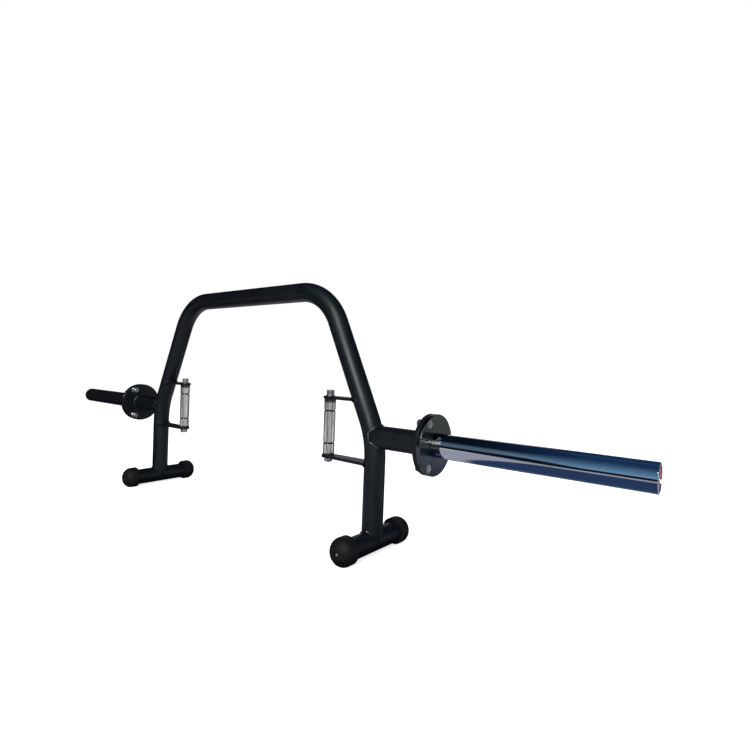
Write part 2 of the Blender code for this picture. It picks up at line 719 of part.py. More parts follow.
for old in list(bpy.data.objects):
    bpy.data.objects.remove(old)

part = new_collection("trap_bar")
cutters = new_collection("cutters")

paint = make_finish("satin_black_paint", (0.012, 0.014, 0.020), 0.42, 0.0)
gloss_black = make_finish("gloss_black_plate", (0.020, 0.022, 0.024), 0.18, 0.6)
chrome = make_finish("chrome", (0.80, 0.82, 0.85), 0.08, 1.0)
zinc = make_finish("bright_zinc", (0.62, 0.64, 0.66), 0.28, 1.0)
bare_steel = make_finish("bare_steel", (0.45, 0.45, 0.46), 0.35, 1.0)
bronze = make_finish("bronze", (0.55, 0.33, 0.16), 0.35, 1.0)
copper_red = make_finish("copper_red", (0.62, 0.13, 0.06), 0.30, 0.8)
rubber = make_finish("black_rubber", (0.020, 0.021, 0.022), 0.75, 0.0)

floor_cutter = add_floor_cutter()
foot_reach = FOOT_TUBE_LENGTH / 2
foot_cutters = {
    side: turned(f"foot_cutter_{side}",
                 disc_profile(FOOT_TUBE_DIAMETER / 2 + CLEARANCE, -foot_reach, foot_reach),
                 TUBE_SIDES, None, (sign * LEG_X, 0, FOOT_Z), (0, 1, 0))
    for side, sign in SIDES.items()}
cap_screw_mesh = cap_screw()
flange_drill_mesh = flange_drill()
flange_screw_mesh = flange_screw()
flange_nut_mesh = flange_nut()
arch_cutter = tube_along("arch_cutter", arch_path(), FRAME_TUBE_DIAMETER / 2 + CLEARANCE, True, None)

add_arch(foot_cutters)
for side, sign in SIDES.items():
    add_foot(side, sign)
    add_stub(side, sign, arch_cutter)
    add_flanges(side, sign)
    add_flange_fasteners(side, sign)
    add_spindle(side, sign)
    add_sleeve(side, sign)
    add_sleeve_end(side, sign)
    add_plate(f"upper_bracket_{side}", sign, UPPER_PLATE_Z, arch_cutter)
    add_plate(f"lower_bracket_{side}", sign, LOWER_PLATE_Z, arch_cutter)
    add_grip(side, sign)
    add_grip_fasteners(side, sign)
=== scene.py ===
"""Looks of the trap bar: smooth tubes, welds, knurled grips, polished sleeves and a plain studio.

Lengths are in metres. X runs along the bar, Y from the front feet to the rear ones and Z up.
"""

import json
import logging
import math
import random
from dataclasses import dataclass
from enum import Enum
from typing import Callable, Iterable, Sequence

import bmesh
import bpy
from mathutils import Matrix, Vector

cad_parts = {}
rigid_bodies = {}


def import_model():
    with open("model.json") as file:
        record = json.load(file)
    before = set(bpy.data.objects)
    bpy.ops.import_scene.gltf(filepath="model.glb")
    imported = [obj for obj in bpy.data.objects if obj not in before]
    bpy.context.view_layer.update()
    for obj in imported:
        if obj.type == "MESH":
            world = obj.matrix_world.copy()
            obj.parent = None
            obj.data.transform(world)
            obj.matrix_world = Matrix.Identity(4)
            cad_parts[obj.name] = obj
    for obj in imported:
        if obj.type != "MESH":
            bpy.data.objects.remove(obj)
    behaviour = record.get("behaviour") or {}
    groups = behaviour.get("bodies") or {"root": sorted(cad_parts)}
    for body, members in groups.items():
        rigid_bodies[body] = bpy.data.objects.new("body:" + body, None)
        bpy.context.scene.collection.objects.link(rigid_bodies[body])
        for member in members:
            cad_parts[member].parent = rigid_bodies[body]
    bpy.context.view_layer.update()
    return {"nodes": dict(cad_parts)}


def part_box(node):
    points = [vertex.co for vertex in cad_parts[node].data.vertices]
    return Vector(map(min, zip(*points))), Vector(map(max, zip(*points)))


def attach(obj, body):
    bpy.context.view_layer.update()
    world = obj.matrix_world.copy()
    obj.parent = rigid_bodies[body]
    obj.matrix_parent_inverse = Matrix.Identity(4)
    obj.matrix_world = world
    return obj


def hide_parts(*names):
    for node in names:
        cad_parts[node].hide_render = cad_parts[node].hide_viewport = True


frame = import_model()

logging.basicConfig(level=logging.INFO, format="%(name)s: %(message)s")
log = logging.getLogger("trap_bar")

# Points of one mesh that are nearer than this are the same point
WELD_DISTANCE = 1e-6

# Faces that meet at more than this keep a sharp edge
SHARP_ANGLE = math.radians(40)

# A fillet gets a row of faces this much wider than itself, so that the flat beside it stays flat
FILLET_MARGIN = 1.15

# How far the cutter of a socket stands out of the screw
OVERCUT = 0.002

Colour = tuple[float, float, float]
Socket = bpy.types.NodeSocket

# A corner of a turned profile: its radius, its height and, where it is rounded, by how much
Corner = tuple[float, ...]

# A soft border: what it runs along, where it starts and ends, and maybe its levels there
Border = tuple[Socket | float, ...]


class Way(Enum):
    """One of two opposite directions, with its sign as the value."""

    @property
    def word(self) -> str:
        """The direction's name as the node names have it."""
        return self.name.lower()


class Side(Way):
    """The two ends of the bar, with the sign of X there."""

    RIGHT = 1
    LEFT = -1

    def node(self, kind: str) -> str:
        """The name of this side's node or piece of a kind."""
        return f"{kind}_{self.word}"

    def seat(self, x: float, z: float, y: float = 0.0) -> Matrix:
        """A place on this side, with Z turned outwards along the bar."""
        return towards(Vector((self.value * x, y, z)), Vector((self.value, 0, 0)))


class End(Way):
    """The two ends of a foot, with the sign of Y there."""

    FRONT = -1
    REAR = 1

    def seat(self, x: float, y: float, z: float) -> Matrix:
        """A place at this end, with Z turned outwards along the foot."""
        return towards(Vector((x, self.value * y, z)), Vector((0, self.value, 0)))


class Slot(Enum):
    """The record's material slots."""

    PAINT = "satin_black_paint"
    GLOSS = "gloss_black_plate"
    CHROME = "chrome"
    ZINC = "bright_zinc"
    STEEL = "bare_steel"
    BRONZE = "bronze"
    COPPER = "copper_red"
    RUBBER = "black_rubber"


@dataclass(frozen=True)
class Box:
    """The box round a CAD node."""

    low: Vector
    high: Vector

    @classmethod
    def of(cls, node: str) -> "Box":
        """Returns a node's box."""
        return cls(*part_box(node))

    @property
    def middle(self) -> Vector:
        """The box's middle."""
        return (self.low + self.high) / 2

    @property
    def size(self) -> Vector:
        """The box's three sides."""
        return self.high - self.low

    @property
    def radius(self) -> float:
        """The radius of a level round part, from the box's height."""
        return self.size.z / 2

    @property
    def reach(self) -> float:
        """How far from the bar's middle the box goes along Y."""
        return max(abs(self.low.y), abs(self.high.y))


def towards(origin: Vector, direction: Vector) -> Matrix:
    """Returns the matrix that moves to a point and turns Z towards a direction."""
    return Matrix.Translation(origin) @ direction.to_track_quat("Z", "Y").to_matrix().to_4x4()


def put(name: str, data: bpy.types.ID) -> bpy.types.Object:
    """Makes an object of a mesh, curve, camera or lamp and adds it to the scene."""
    obj = bpy.data.objects.new(name, data)
    bpy.context.scene.collection.objects.link(obj)
    return obj


def arc(centre: Vector, radius: float, start: float, stop: float, steps: int) -> list[Vector]:
    """Returns points of an arc in the XY plane.

    Args:
        centre: The arc's centre.
        radius: Its radius.
        start: The angle of its first point, in radians from +X.
        stop: The angle of its last point.
        steps: How many chords it has.

    Returns:
        The points, both ends among them.
    """
    angles = (start + (stop - start) * step / steps for step in range(steps + 1))
    return [centre + Vector((math.cos(a), math.sin(a), 0)) * radius for a in angles]


def circle(radius: float, count: int) -> list[Vector]:
    """Returns evenly spaced points of a circle round the origin."""
    return arc(Vector(), radius, 0, math.tau * (count - 1) / count, count - 1)


def rounded(profile: Sequence[Corner], closed: bool, steps: int = 4) -> list[Vector]:
    """Rounds the corners of a profile.

    Args:
        profile: The profile's corners in order.
        closed: Whether the last corner is joined to the first.
        steps: How many chords a fillet has.

    Returns:
        The rounded profile's points in the XZ plane.
    """
    spots = [Vector((corner[0], 0, corner[1])) for corner in profile]
    points = []
    for index, (spot, corner) in enumerate(zip(spots, profile)):
        is_end = not closed and index in (0, len(spots) - 1)
        if is_end or len(corner) < 3:
            points.append(spot)
            continue
        before = (spots[index - 1] - spot).normalized() * corner[2]
        after = (spots[(index + 1) % len(spots)] - spot).normalized() * corner[2]
        shares = [step / steps for step in range(steps + 1)]
        points.append(spot + before * FILLET_MARGIN)
        points += [spot + before * (1 - share) ** 2 + after * share ** 2 for share in shares]
        points.append(spot + after * FILLET_MARGIN)
    return points


class Shape:
    """A mesh in the making, shaped at the origin and then put in its place."""

    def __init__(self, mesh: bmesh.types.BMesh | None = None) -> None:
        """Starts with a mesh, or with nothing."""
        self.mesh = mesh or bmesh.new()

    @classmethod
    def turned(cls, profile: Sequence[Corner], sides: int = 48, closed: bool = False) -> "Shape":
        """Turns a profile about Z.

        Args:
            profile: The profile. An open one starts and ends on the axis, a closed one is a ring.
            sides: How many facets go round.
            closed: Whether the profile is a closed loop.

        Returns:
            The turned shape.
        """
        shape = cls()
        verts = [shape.mesh.verts.new(point) for point in rounded(profile, closed)]
        edges = [shape.mesh.edges.new(pair) for pair in zip(verts, verts[1:])]
        if closed:
            edges.append(shape.mesh.edges.new((verts[-1], verts[0])))
        bmesh.ops.spin(shape.mesh, geom=verts + edges, cent=(0, 0, 0), axis=(0, 0, 1),
                       angle=math.tau, steps=sides, use_merge=True)
        return shape.settled()

    @classmethod
    def pipe(cls, radius: float, bore: float, start: float, stop: float, sides: int) -> "Shape":
        """Makes a round tube on Z, from one height to another."""
        profile = [(radius, stop), (radius, start), (bore, start), (bore, stop)]
        return cls.turned(profile, sides, closed=True)

    @classmethod
    def prism(cls, outline: Iterable[Vector], bottom: float, top: float) -> "Shape":
        """Raises a flat outline in the XY plane into a prism.

        Args:
            outline: The outline's points in order.
            bottom: The height of its lower face.
            top: The height of its upper face.

        Returns:
            The prism.
        """
        shape = cls()
        verts = [shape.mesh.verts.new((point.x, point.y, bottom)) for point in outline]
        face = shape.mesh.faces.new(verts)
        raised = bmesh.ops.extrude_face_region(shape.mesh, geom=[face])["geom"]
        moved = [item for item in raised if isinstance(item, bmesh.types.BMVert)]
        bmesh.ops.translate(shape.mesh, verts=moved, vec=(0, 0, top - bottom))
        return shape.settled()

    @classmethod
    def hexagon(cls, across_flats: float, bottom: float, top: float) -> "Shape":
        """Makes a hexagonal prism on Z, as wide across its flats as given."""
        return cls.prism(circle(across_flats / 2 / math.cos(math.pi / 6), 6), bottom, top)

    @classmethod
    def thread(cls, radius: float, pitch: float, depth: float, bottom: float, turns: int) -> "Shape":
        """Winds a thread's ridge round Z.

        Args:
            radius: The thread's outer radius.
            pitch: How far it climbs in one turn.
            depth: How deep its groove is.
            bottom: The height where it starts.
            turns: How many turns it has.

        Returns:
            The ridge, which stands on a core that is drawn by itself.
        """
        shape = cls()
        steps = 24
        root = radius - depth
        flank = pitch * 0.42
        profile = [(root, 0, bottom - flank), (radius, 0, bottom), (root, 0, bottom + flank)]
        verts = [shape.mesh.verts.new(point) for point in profile]
        edges = [shape.mesh.edges.new((verts[i], verts[(i + 1) % 3])) for i in range(3)]
        made = bmesh.ops.spin(shape.mesh, geom=verts + edges, cent=(0, 0, 0), axis=(0, 0, 1),
                              dvec=(0, 0, pitch / steps), angle=math.tau * turns,
                              steps=steps * turns)
        last = [item for item in made["geom_last"] if isinstance(item, bmesh.types.BMVert)]
        shape.mesh.faces.new(verts)
        shape.mesh.faces.new(last)
        return shape.settled()

    @classmethod
    def taken(cls, *objects: bpy.types.Object) -> "Shape":
        """Takes the first object's shape, with its modifiers, and removes all the objects."""
        bpy.context.view_layer.update()
        depsgraph = bpy.context.evaluated_depsgraph_get()
        mesh = bpy.data.meshes.new_from_object(objects[0].evaluated_get(depsgraph))
        shape = cls()
        shape.mesh.from_mesh(mesh)
        bpy.data.batch_remove([mesh, *objects, *(obj.data for obj in objects)])
        return shape

    def settled(self) -> "Shape":
        """Merges what lies double and turns all faces outwards."""
        bmesh.ops.remove_doubles(self.mesh, verts=self.mesh.verts, dist=WELD_DISTANCE)
        bmesh.ops.recalc_face_normals(self.mesh, faces=self.mesh.faces)
        return self

    def softened(self, width: float, least_angle: float, segments: int) -> "Shape":
        """Bevels the edges whose faces meet at more than an angle in degrees."""
        limit = math.radians(least_angle)
        edges = [e for e in self.mesh.edges if e.is_manifold and e.calc_face_angle(0) > limit]
        bmesh.ops.bevel(self.mesh, geom=edges, offset=width, offset_type="OFFSET",
                        segments=segments, profile=0.5, affect="EDGES", material=-1,
                        clamp_overlap=True)
        return self

    def moved(self, place: Matrix) -> "Shape":
        """Puts the shape in a place."""
        bmesh.ops.transform(self.mesh, matrix=place, verts=self.mesh.verts)
        return self

    def copied(self) -> "Shape":
        """Returns a copy of the shape."""
        return Shape(self.mesh.copy())

    def joined(self, other: "Shape") -> "Shape":
        """Takes another shape's faces into this one, without merging the two."""
        mesh = other.as_mesh("joined")
        self.mesh.from_mesh(mesh)
        bpy.data.meshes.remove(mesh)
        return self

    def carved(self, other: "Shape", operation: str = "DIFFERENCE") -> "Shape":
        """Cuts another shape out of this one, or keeps what they share.

        Args:
            other: The other shape, which is used up.
            operation: The Boolean operation.

        Returns:
            The new shape.
        """
        body = self.as_object("carved_body")
        cutter = other.as_object("carved_cutter")
        boolean = body.modifiers.new("carve", "BOOLEAN")
        boolean.operation = operation
        boolean.solver = "EXACT"
        boolean.object = cutter
        shape = Shape.taken(body, cutter)
        bmesh.ops.remove_doubles(shape.mesh, verts=shape.mesh.verts, dist=WELD_DISTANCE)
        return shape

    def as_mesh(self, name: str) -> bpy.types.Mesh:
        """Ends the shape by making it a mesh."""
        mesh = bpy.data.meshes.new(name)
        self.mesh.to_mesh(mesh)
        self.mesh.free()
        return mesh

    def as_object(self, name: str) -> bpy.types.Object:
        """Ends the shape by making it a smooth object of the scene."""
        mesh = self.as_mesh(name)
        mesh.shade_smooth()
        mesh.set_sharp_from_angle(angle=SHARP_ANGLE)
        return put(name, mesh)


class NodeSheet:
    """Adds and links the nodes of one material, world or group."""

    def __init__(self, tree: bpy.types.NodeTree) -> None:
        """Takes the node tree to work on."""
        self.tree = tree

    @classmethod
    def fresh(cls, block: bpy.types.Material | bpy.types.World) -> "NodeSheet":
        """Returns the emptied sheet of a material or a world."""
        block.use_nodes = True
        block.node_tree.nodes.clear()
        return cls(block.node_tree)

    def add(self, kind: str, inputs: dict | None = None, **settings: object) -> bpy.types.Node:
        """Adds a shader node.

        Args:
            kind: The node's type, without the ShaderNode that all of them start with.
            inputs: What its sockets get, by name or number: a value, or a socket to link from.
            **settings: The node's own settings.

        Returns:
            The node.
        """
        node = self.tree.nodes.new("ShaderNode" + kind)
        for key, value in settings.items():
            setattr(node, key, value)
        for key, value in (inputs or {}).items():
            if isinstance(value, Socket):
                self.link(value, node.inputs[key])
            else:
                node.inputs[key].default_value = value
        return node

    def link(self, source: Socket, target: Socket) -> None:
        """Links two sockets."""
        self.tree.links.new(source, target)

    def split(self, vector: Socket) -> bpy.types.bpy_prop_collection:
        """Returns a vector's X, Y and Z."""
        return self.add("SeparateXYZ", {"Vector": vector}).outputs

    def length(self, across: Socket, along: Socket) -> Socket:
        """Returns the distance that two steps at right angles come to."""
        spoke = self.add("CombineXYZ", {"X": across, "Y": along}).outputs["Vector"]
        return self.add("VectorMath", {0: spoke}, operation="LENGTH").outputs["Value"]

    def noise(self, inputs: dict, **settings: object) -> Socket:
        """Adds a noise texture and returns its value."""
        return self.add("TexNoise", inputs, **settings).outputs["Fac"]

    def maths(self, operation: str, first: object, second: object = 0.0,
              clamp: bool = False) -> Socket:
        """Adds a Math node and returns its result."""
        node = self.add("Math", {0: first, 1: second}, operation=operation, use_clamp=clamp)
        return node.outputs["Value"]

    def joint(self, operation: str, shares: Iterable[Socket]) -> Socket:
        """Returns what an operation makes of several values, one after another."""
        first, *others = shares
        for other in others:
            first = self.maths(operation, first, other)
        return first

    def ramp(self, value: Socket, start: float, stop: float, at_start: float = 0.0,
             at_stop: float = 1.0) -> Socket:
        """Maps a value's range smoothly to another.

        Args:
            value: The value.
            start: Where the range starts. It may lie above its end.
            stop: Where the range ends.
            at_start: The result up to the start.
            at_stop: The result from the end on.

        Returns:
            The result.
        """
        (low, to_low), (high, to_high) = sorted(((start, at_start), (stop, at_stop)))
        node = self.add("MapRange", {"Value": value, "From Min": low, "From Max": high,
                                     "To Min": to_low, "To Max": to_high},
                        interpolation_type="SMOOTHSTEP")
        return node.outputs["Result"]

    def blend(self, factor: object, *colours: Socket | Colour) -> Socket:
        """Mixes two colours and returns the result."""
        first, second = ((*c, 1.0) if isinstance(c, tuple) else c for c in colours)
        return self.add("Mix", {0: factor, 6: first, 7: second}, data_type="RGBA").outputs[2]

    def area(self, borders: Sequence[Border]) -> Socket:
        """Returns an area's share, the product of its borders' ramps."""
        return self.joint("MULTIPLY", [self.ramp(*border) for border in borders])

    def lay(self, ground: Socket | Colour, colour: Colour, *areas: Sequence[Border]) -> Socket:
        """Lays a colour over a ground, wherever one of the areas is."""
        shares = [self.area(borders) for borders in areas]
        return self.blend(self.joint("MAXIMUM", shares), ground, colour)

    def seen(self, path: bpy.types.bpy_prop_collection) -> Socket:
        """Returns 1 for rays of the camera, of gloss and of glass, and else 0."""
        kinds = ("Is Camera Ray", "Is Glossy Ray", "Is Transmission Ray")
        return self.joint("MAXIMUM", [path[kind] for kind in kinds])


class EffectGroup:
    """A shader node group that several finishes use."""

    def __init__(self, name: str, inputs: dict[str, float], *outputs: str) -> None:
        """Makes the group with its sockets.

        Args:
            name: The group's name.
            inputs: The number sockets and their usual values. A Vector socket comes first.
            *outputs: The names of the number sockets that it puts out.
        """
        self.tree = bpy.data.node_groups.new(name, "ShaderNodeTree")
        face = self.tree.interface
        face.new_socket("Vector", in_out="INPUT", socket_type="NodeSocketVector")
        for label, value in inputs.items():
            socket = face.new_socket(label, in_out="INPUT", socket_type="NodeSocketFloat")
            socket.default_value = value
        for label in outputs:
            face.new_socket(label, in_out="OUTPUT", socket_type="NodeSocketFloat")
        self.sheet = NodeSheet(self.tree)
        self.given = self.tree.nodes.new("NodeGroupInput").outputs
        self.result = self.tree.nodes.new("NodeGroupOutput").inputs

    def place(self, sheet: NodeSheet, vector: Socket, **values: float) -> Sequence[Socket]:
        """Puts the group in a material, with its own values, and returns what it puts out."""
        return sheet.add("Group", {"Vector": vector, **values}, node_tree=self.tree).outputs


class Effects:
    """The effects that the finishes share."""

    def __init__(self) -> None:
        """Builds each group once."""
        self.grain = self.make_grain()
        self.scratches = self.make_scratches()
        self.lathe_lines = self.make_lathe_lines()
        self.grip_grime = self.make_grip_grime()

    @staticmethod
    def make_grain() -> EffectGroup:
        """Fine bumps of a sprayed or moulded surface, and slow patches over it."""
        group = EffectGroup("surface_grain", {"Size": 0.001, "Patch": 0.05}, "Height", "Patches")
        sheet = group.sheet
        vector = group.given["Vector"]
        fine = sheet.maths("DIVIDE", 1.0, group.given["Size"])
        slow = sheet.maths("DIVIDE", 1.0, group.given["Patch"])
        bumps = sheet.noise({"Vector": vector, "Scale": fine, "Detail": 2.0, "Roughness": 0.55})
        patches = sheet.noise({"Vector": vector, "Scale": slow, "Detail": 4.0, "Roughness": 0.6})
        sheet.link(bumps, group.result["Height"])
        sheet.link(sheet.ramp(patches, 0.36, 0.66), group.result["Patches"])
        return group

    @staticmethod
    def make_scratches() -> EffectGroup:
        """Sparse hairline scratches in two directions."""
        group = EffectGroup("hairline_scratches", {"Length": 0.03, "Amount": 0.3}, "Mask")
        sheet = group.sheet
        vector = group.given["Vector"]
        along = sheet.maths("DIVIDE", 1.0, group.given["Length"])
        masks = []
        for turn in (0.35, 1.3):
            lean = sheet.add("Mapping", {"Vector": vector, "Rotation": (turn, turn * 0.7, turn),
                                         "Scale": (1.0, 22.0, 1.0)}).outputs["Vector"]
            field = sheet.noise({"Vector": lean, "Scale": along, "Detail": 3.0})
            ridge = sheet.maths("ABSOLUTE", sheet.maths("SUBTRACT", field, 0.5))
            masks.append(sheet.ramp(ridge, 0.012, 0.0))
        both = sheet.joint("MAXIMUM", masks)
        shown = sheet.ramp(sheet.noise({"Vector": vector, "Scale": 14.0}), 0.55, 0.7)
        mask = sheet.joint("MULTIPLY", [both, shown, group.given["Amount"]])
        sheet.link(mask, group.result["Mask"])
        return group

    @staticmethod
    def make_lathe_lines() -> EffectGroup:
        """Fine rings that a lathe or a grinder leaves, across the Vector's X."""
        group = EffectGroup("lathe_lines", {"Pitch": 0.0006}, "Height")
        sheet = group.sheet
        across = sheet.split(group.given["Vector"])["X"]
        station = sheet.maths("DIVIDE", across, group.given["Pitch"])
        rings = sheet.noise({"W": station, "Scale": 1.0, "Detail": 3.0}, noise_dimensions="1D")
        sheet.link(rings, group.result["Height"])
        return group

    @staticmethod
    def make_grip_grime() -> EffectGroup:
        """Painted shade: darkens a grip's grooves and its ends where it meets the plates."""
        grip = Box.of("grip_right")
        group = EffectGroup("grip_grime", {"Depth": 0.0009, "Reach": 0.007}, "Mask")
        sheet = group.sheet
        split = sheet.split(group.given["Vector"])
        off_axis = sheet.maths("SUBTRACT", sheet.maths("ABSOLUTE", split["X"]), grip.middle.x)
        inward = sheet.maths("SUBTRACT", grip.size.x / 2, sheet.length(off_axis, split["Y"]))
        deep = sheet.maths("DIVIDE", inward, group.given["Depth"])
        above = sheet.maths("SUBTRACT", grip.high.z, split["Z"])
        below = sheet.maths("SUBTRACT", split["Z"], grip.low.z)
        inset = sheet.maths("MINIMUM", above, sheet.maths("MULTIPLY", below, 2.0))
        edge = sheet.maths("DIVIDE", inset, group.given["Reach"])
        ends = sheet.ramp(edge, 0.75, 1.6, 0.90, 0.0)
        mask = sheet.maths("MAXIMUM", sheet.ramp(deep, 0.25, 1.0, 0.0, 0.97), ends)
        sheet.link(mask, group.result["Mask"])
        return group


@dataclass(frozen=True)
class Finish:
    """A surface finish: its colours, gloss and relief, and the kinds of CAD nodes that have it."""

    slot: Slot
    colour: Colour
    second_colour: Colour
    roughness: float
    worn_roughness: float
    metallic: float = 0.0
    grain: float = 0.001
    patch: float = 0.06
    relief: float = 0.0001
    relief_strength: float = 0.2
    scratches: float = 0.0
    lathe_pitch: float = 0.0
    lathe_axis: str = "X"
    specular: float = 0.5
    # Whether the finish darkens a grip's grooves and the ends by its plates: painted shade
    grime: bool = False
    grime_colour: Colour = (0.012, 0.013, 0.014)
    name: str = ""
    kinds: tuple[str, ...] = ()

    def build(self, effects: Effects) -> bpy.types.Material:
        """Makes the finish's material.

        Args:
            effects: The shared effect groups.

        Returns:
            The material.
        """
        material = bpy.data.materials.new(self.name or self.slot.value)
        material.use_nodes = True
        material.diffuse_color = (*self.colour, 1.0)
        sheet = NodeSheet(material.node_tree)
        shader = material.node_tree.nodes["Principled BSDF"].inputs
        shader["Metallic"].default_value = self.metallic
        shader["Specular IOR Level"].default_value = self.specular
        place = sheet.add("TexCoord").outputs["Object"]
        grain = effects.grain.place(sheet, place, Size=self.grain, Patch=self.patch)
        colour = sheet.blend(grain["Patches"], self.colour, self.second_colour)
        roughness = sheet.ramp(grain["Patches"], 0.0, 1.0, self.roughness, self.worn_roughness)
        height = grain["Height"]
        if self.scratches > 0:
            marks = effects.scratches.place(sheet, place, Amount=self.scratches)["Mask"]
            roughness = sheet.maths("ADD", roughness, marks, clamp=True)
            height = sheet.maths("SUBTRACT", height, marks)
        if self.lathe_pitch > 0:
            across = self.lathe_vector(sheet, place)
            lines = effects.lathe_lines.place(sheet, across, Pitch=self.lathe_pitch)
            height = sheet.maths("ADD", height, lines["Height"])
        # Painted shade: the grip's grooves and its ends by the plates are coloured dark
        if self.grime:
            shade_mask = effects.grip_grime.place(sheet, place)["Mask"]
            colour = sheet.blend(shade_mask, colour, self.grime_colour)
        bump = sheet.add("Bump", {"Height": height, "Strength": self.relief_strength,
                                  "Distance": self.relief})
        sheet.link(colour, shader["Base Color"])
        sheet.link(roughness, shader["Roughness"])
        sheet.link(bump.outputs["Normal"], shader["Normal"])
        return material

    def lathe_vector(self, sheet: NodeSheet, place: Socket) -> Socket:
        """Returns a vector whose X is the place across the lathe's rings.

        The rings lie across the X or the Z axis, or, for "R", round the sleeves' axis.

        Args:
            sheet: The material's sheet.
            place: The place on the bar.

        Returns:
            The vector.
        """
        if self.lathe_axis == "X":
            return place
        split = sheet.split(place)
        across = split["Z"]
        if self.lathe_axis == "R":
            rise = sheet.maths("SUBTRACT", across, Box.of("sleeve_right").middle.z)
            across = sheet.length(split["Y"], rise)
        return sheet.add("CombineXYZ", {"X": across}).outputs["Vector"]


class Look(Enum):
    """The finishes of the bar."""

    PAINT = Finish(
        Slot.PAINT, (0.0013, 0.0030, 0.0052), (0.0018, 0.0036, 0.0060), 0.43, 0.49,
        grain=0.0012, relief=0.00006, relief_strength=0.25, specular=0.37,
        kinds=("arch_frame", "foot_tube", "stub_tube", "frame_flange", "upper_bracket",
               "lower_bracket"))
    WELD_PAINT = Finish(
        Slot.PAINT, (0.0020, 0.0036, 0.0056), (0.0032, 0.0048, 0.0068), 0.28, 0.34,
        grain=0.0008, patch=0.01, relief=0.00006, specular=0.72, name="weld_paint")
    GLOSS = Finish(
        Slot.GLOSS, (0.135, 0.145, 0.142), (0.120, 0.130, 0.127), 0.20, 0.25, metallic=1.0,
        grain=0.0030, relief=0.00002, relief_strength=0.12, scratches=0.06, lathe_pitch=0.0007,
        lathe_axis="R",
        kinds=("sleeve_flange",))
    CHROME = Finish(
        Slot.CHROME, (0.76, 0.79, 0.83), (0.73, 0.76, 0.80), 0.045, 0.075, metallic=1.0,
        grain=0.004, relief=0.00002, relief_strength=0.10, scratches=0.05, lathe_pitch=0.0009,
        kinds=("sleeve",))
    # The grips' grooves and plate ends carry painted shade
    GRIP_CHROME = Finish(
        Slot.CHROME, (0.86, 0.830, 0.780), (0.78, 0.755, 0.70), 0.15, 0.21, metallic=0.9,
        grain=0.002, relief=0.00005, relief_strength=0.4, scratches=0.10, lathe_pitch=0.0006,
        lathe_axis="Z", grime=True, name="grip_chrome",
        kinds=("grip",))
    ZINC = Finish(
        Slot.ZINC, (0.62, 0.64, 0.66), (0.50, 0.52, 0.53), 0.24, 0.36, metallic=1.0,
        grain=0.0008, patch=0.006, relief=0.00003, scratches=0.15,
        kinds=("end_screw", "flange_nut", "grip_nut", "grip_washer"))
    # Darker and rougher than bright zinc; on the cap screws, deep in their wells, the darker colour
    # is painted shade
    DULL_ZINC = Finish(
        Slot.ZINC, (0.42, 0.43, 0.44), (0.33, 0.34, 0.35), 0.32, 0.40, metallic=0.9,
        grain=0.0006, patch=0.004, relief=0.00003, name="dull_zinc",
        kinds=("cap_screw", "flange_screw", "grip_bolt"))
    STEEL = Finish(
        Slot.STEEL, (0.45, 0.45, 0.46), (0.36, 0.36, 0.37), 0.32, 0.45, metallic=1.0,
        grain=0.0008, relief=0.00004, lathe_pitch=0.0005,
        kinds=("foot_plug", "spindle"))
    BRONZE = Finish(
        Slot.BRONZE, (0.55, 0.33, 0.16), (0.42, 0.25, 0.12), 0.34, 0.48, metallic=1.0,
        grain=0.0005, relief=0.00004,
        kinds=("inner_bush", "outer_bush"))
    COPPER = Finish(
        Slot.COPPER, (0.58, 0.130, 0.075), (0.50, 0.105, 0.062), 0.22, 0.30, metallic=0.45,
        grain=0.0007, patch=0.01, relief_strength=0.5, scratches=0.10, lathe_pitch=0.0006,
        lathe_axis="R",
        kinds=("end_washer",))
    RUBBER = Finish(
        Slot.RUBBER, (0.0032, 0.0038, 0.0044), (0.0052, 0.0058, 0.0064), 0.60, 0.72,
        grain=0.0007, patch=0.02, relief=0.00008, relief_strength=0.35, specular=0.20,
        kinds=("foot_cap",))


class Paintshop:
    """Holds the built materials, puts them on pieces and ties the pieces to the frame."""

    def __init__(self) -> None:
        """Builds every material."""
        effects = Effects()
        self.materials = {look: look.value.build(effects) for look in Look}

    def dress_nodes(self) -> None:
        """Gives every CAD node the material of its kind, by the longest kind that fits."""
        looks = {kind: look for look in Look for kind in look.value.kinds}
        for name, obj in frame["nodes"].items():
            kind = max((kind for kind in looks if f"{name}_".startswith(kind + "_")), key=len)
            material = self.materials[looks[kind]]
            if not obj.material_slots:
                obj.data.materials.append(material)
            for slot in obj.material_slots:
                slot.material = material

    def add(self, name: str, shape: Shape, look: Look, *nodes: str, body: str = "frame") -> None:
        """Makes a finished piece of the bar.

        Args:
            name: The piece's name.
            shape: Its shape, in place.
            look: Its finish.
            *nodes: The CAD nodes that it stands for.
            body: The body that it moves with.
        """
        obj = shape.as_object(name)
        obj.data.materials.append(self.materials[look])
        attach(obj, body)
        if nodes:
            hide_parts(*nodes)
        log.info("%s: %d faces, %s", name, len(obj.data.polygons), look.name.lower())


@dataclass(frozen=True)
class Bend:
    """One bend of the frame tube, as a bender makes it."""

    start: Vector
    stop: Vector
    centre: Vector
    axis: Vector
    angle: float


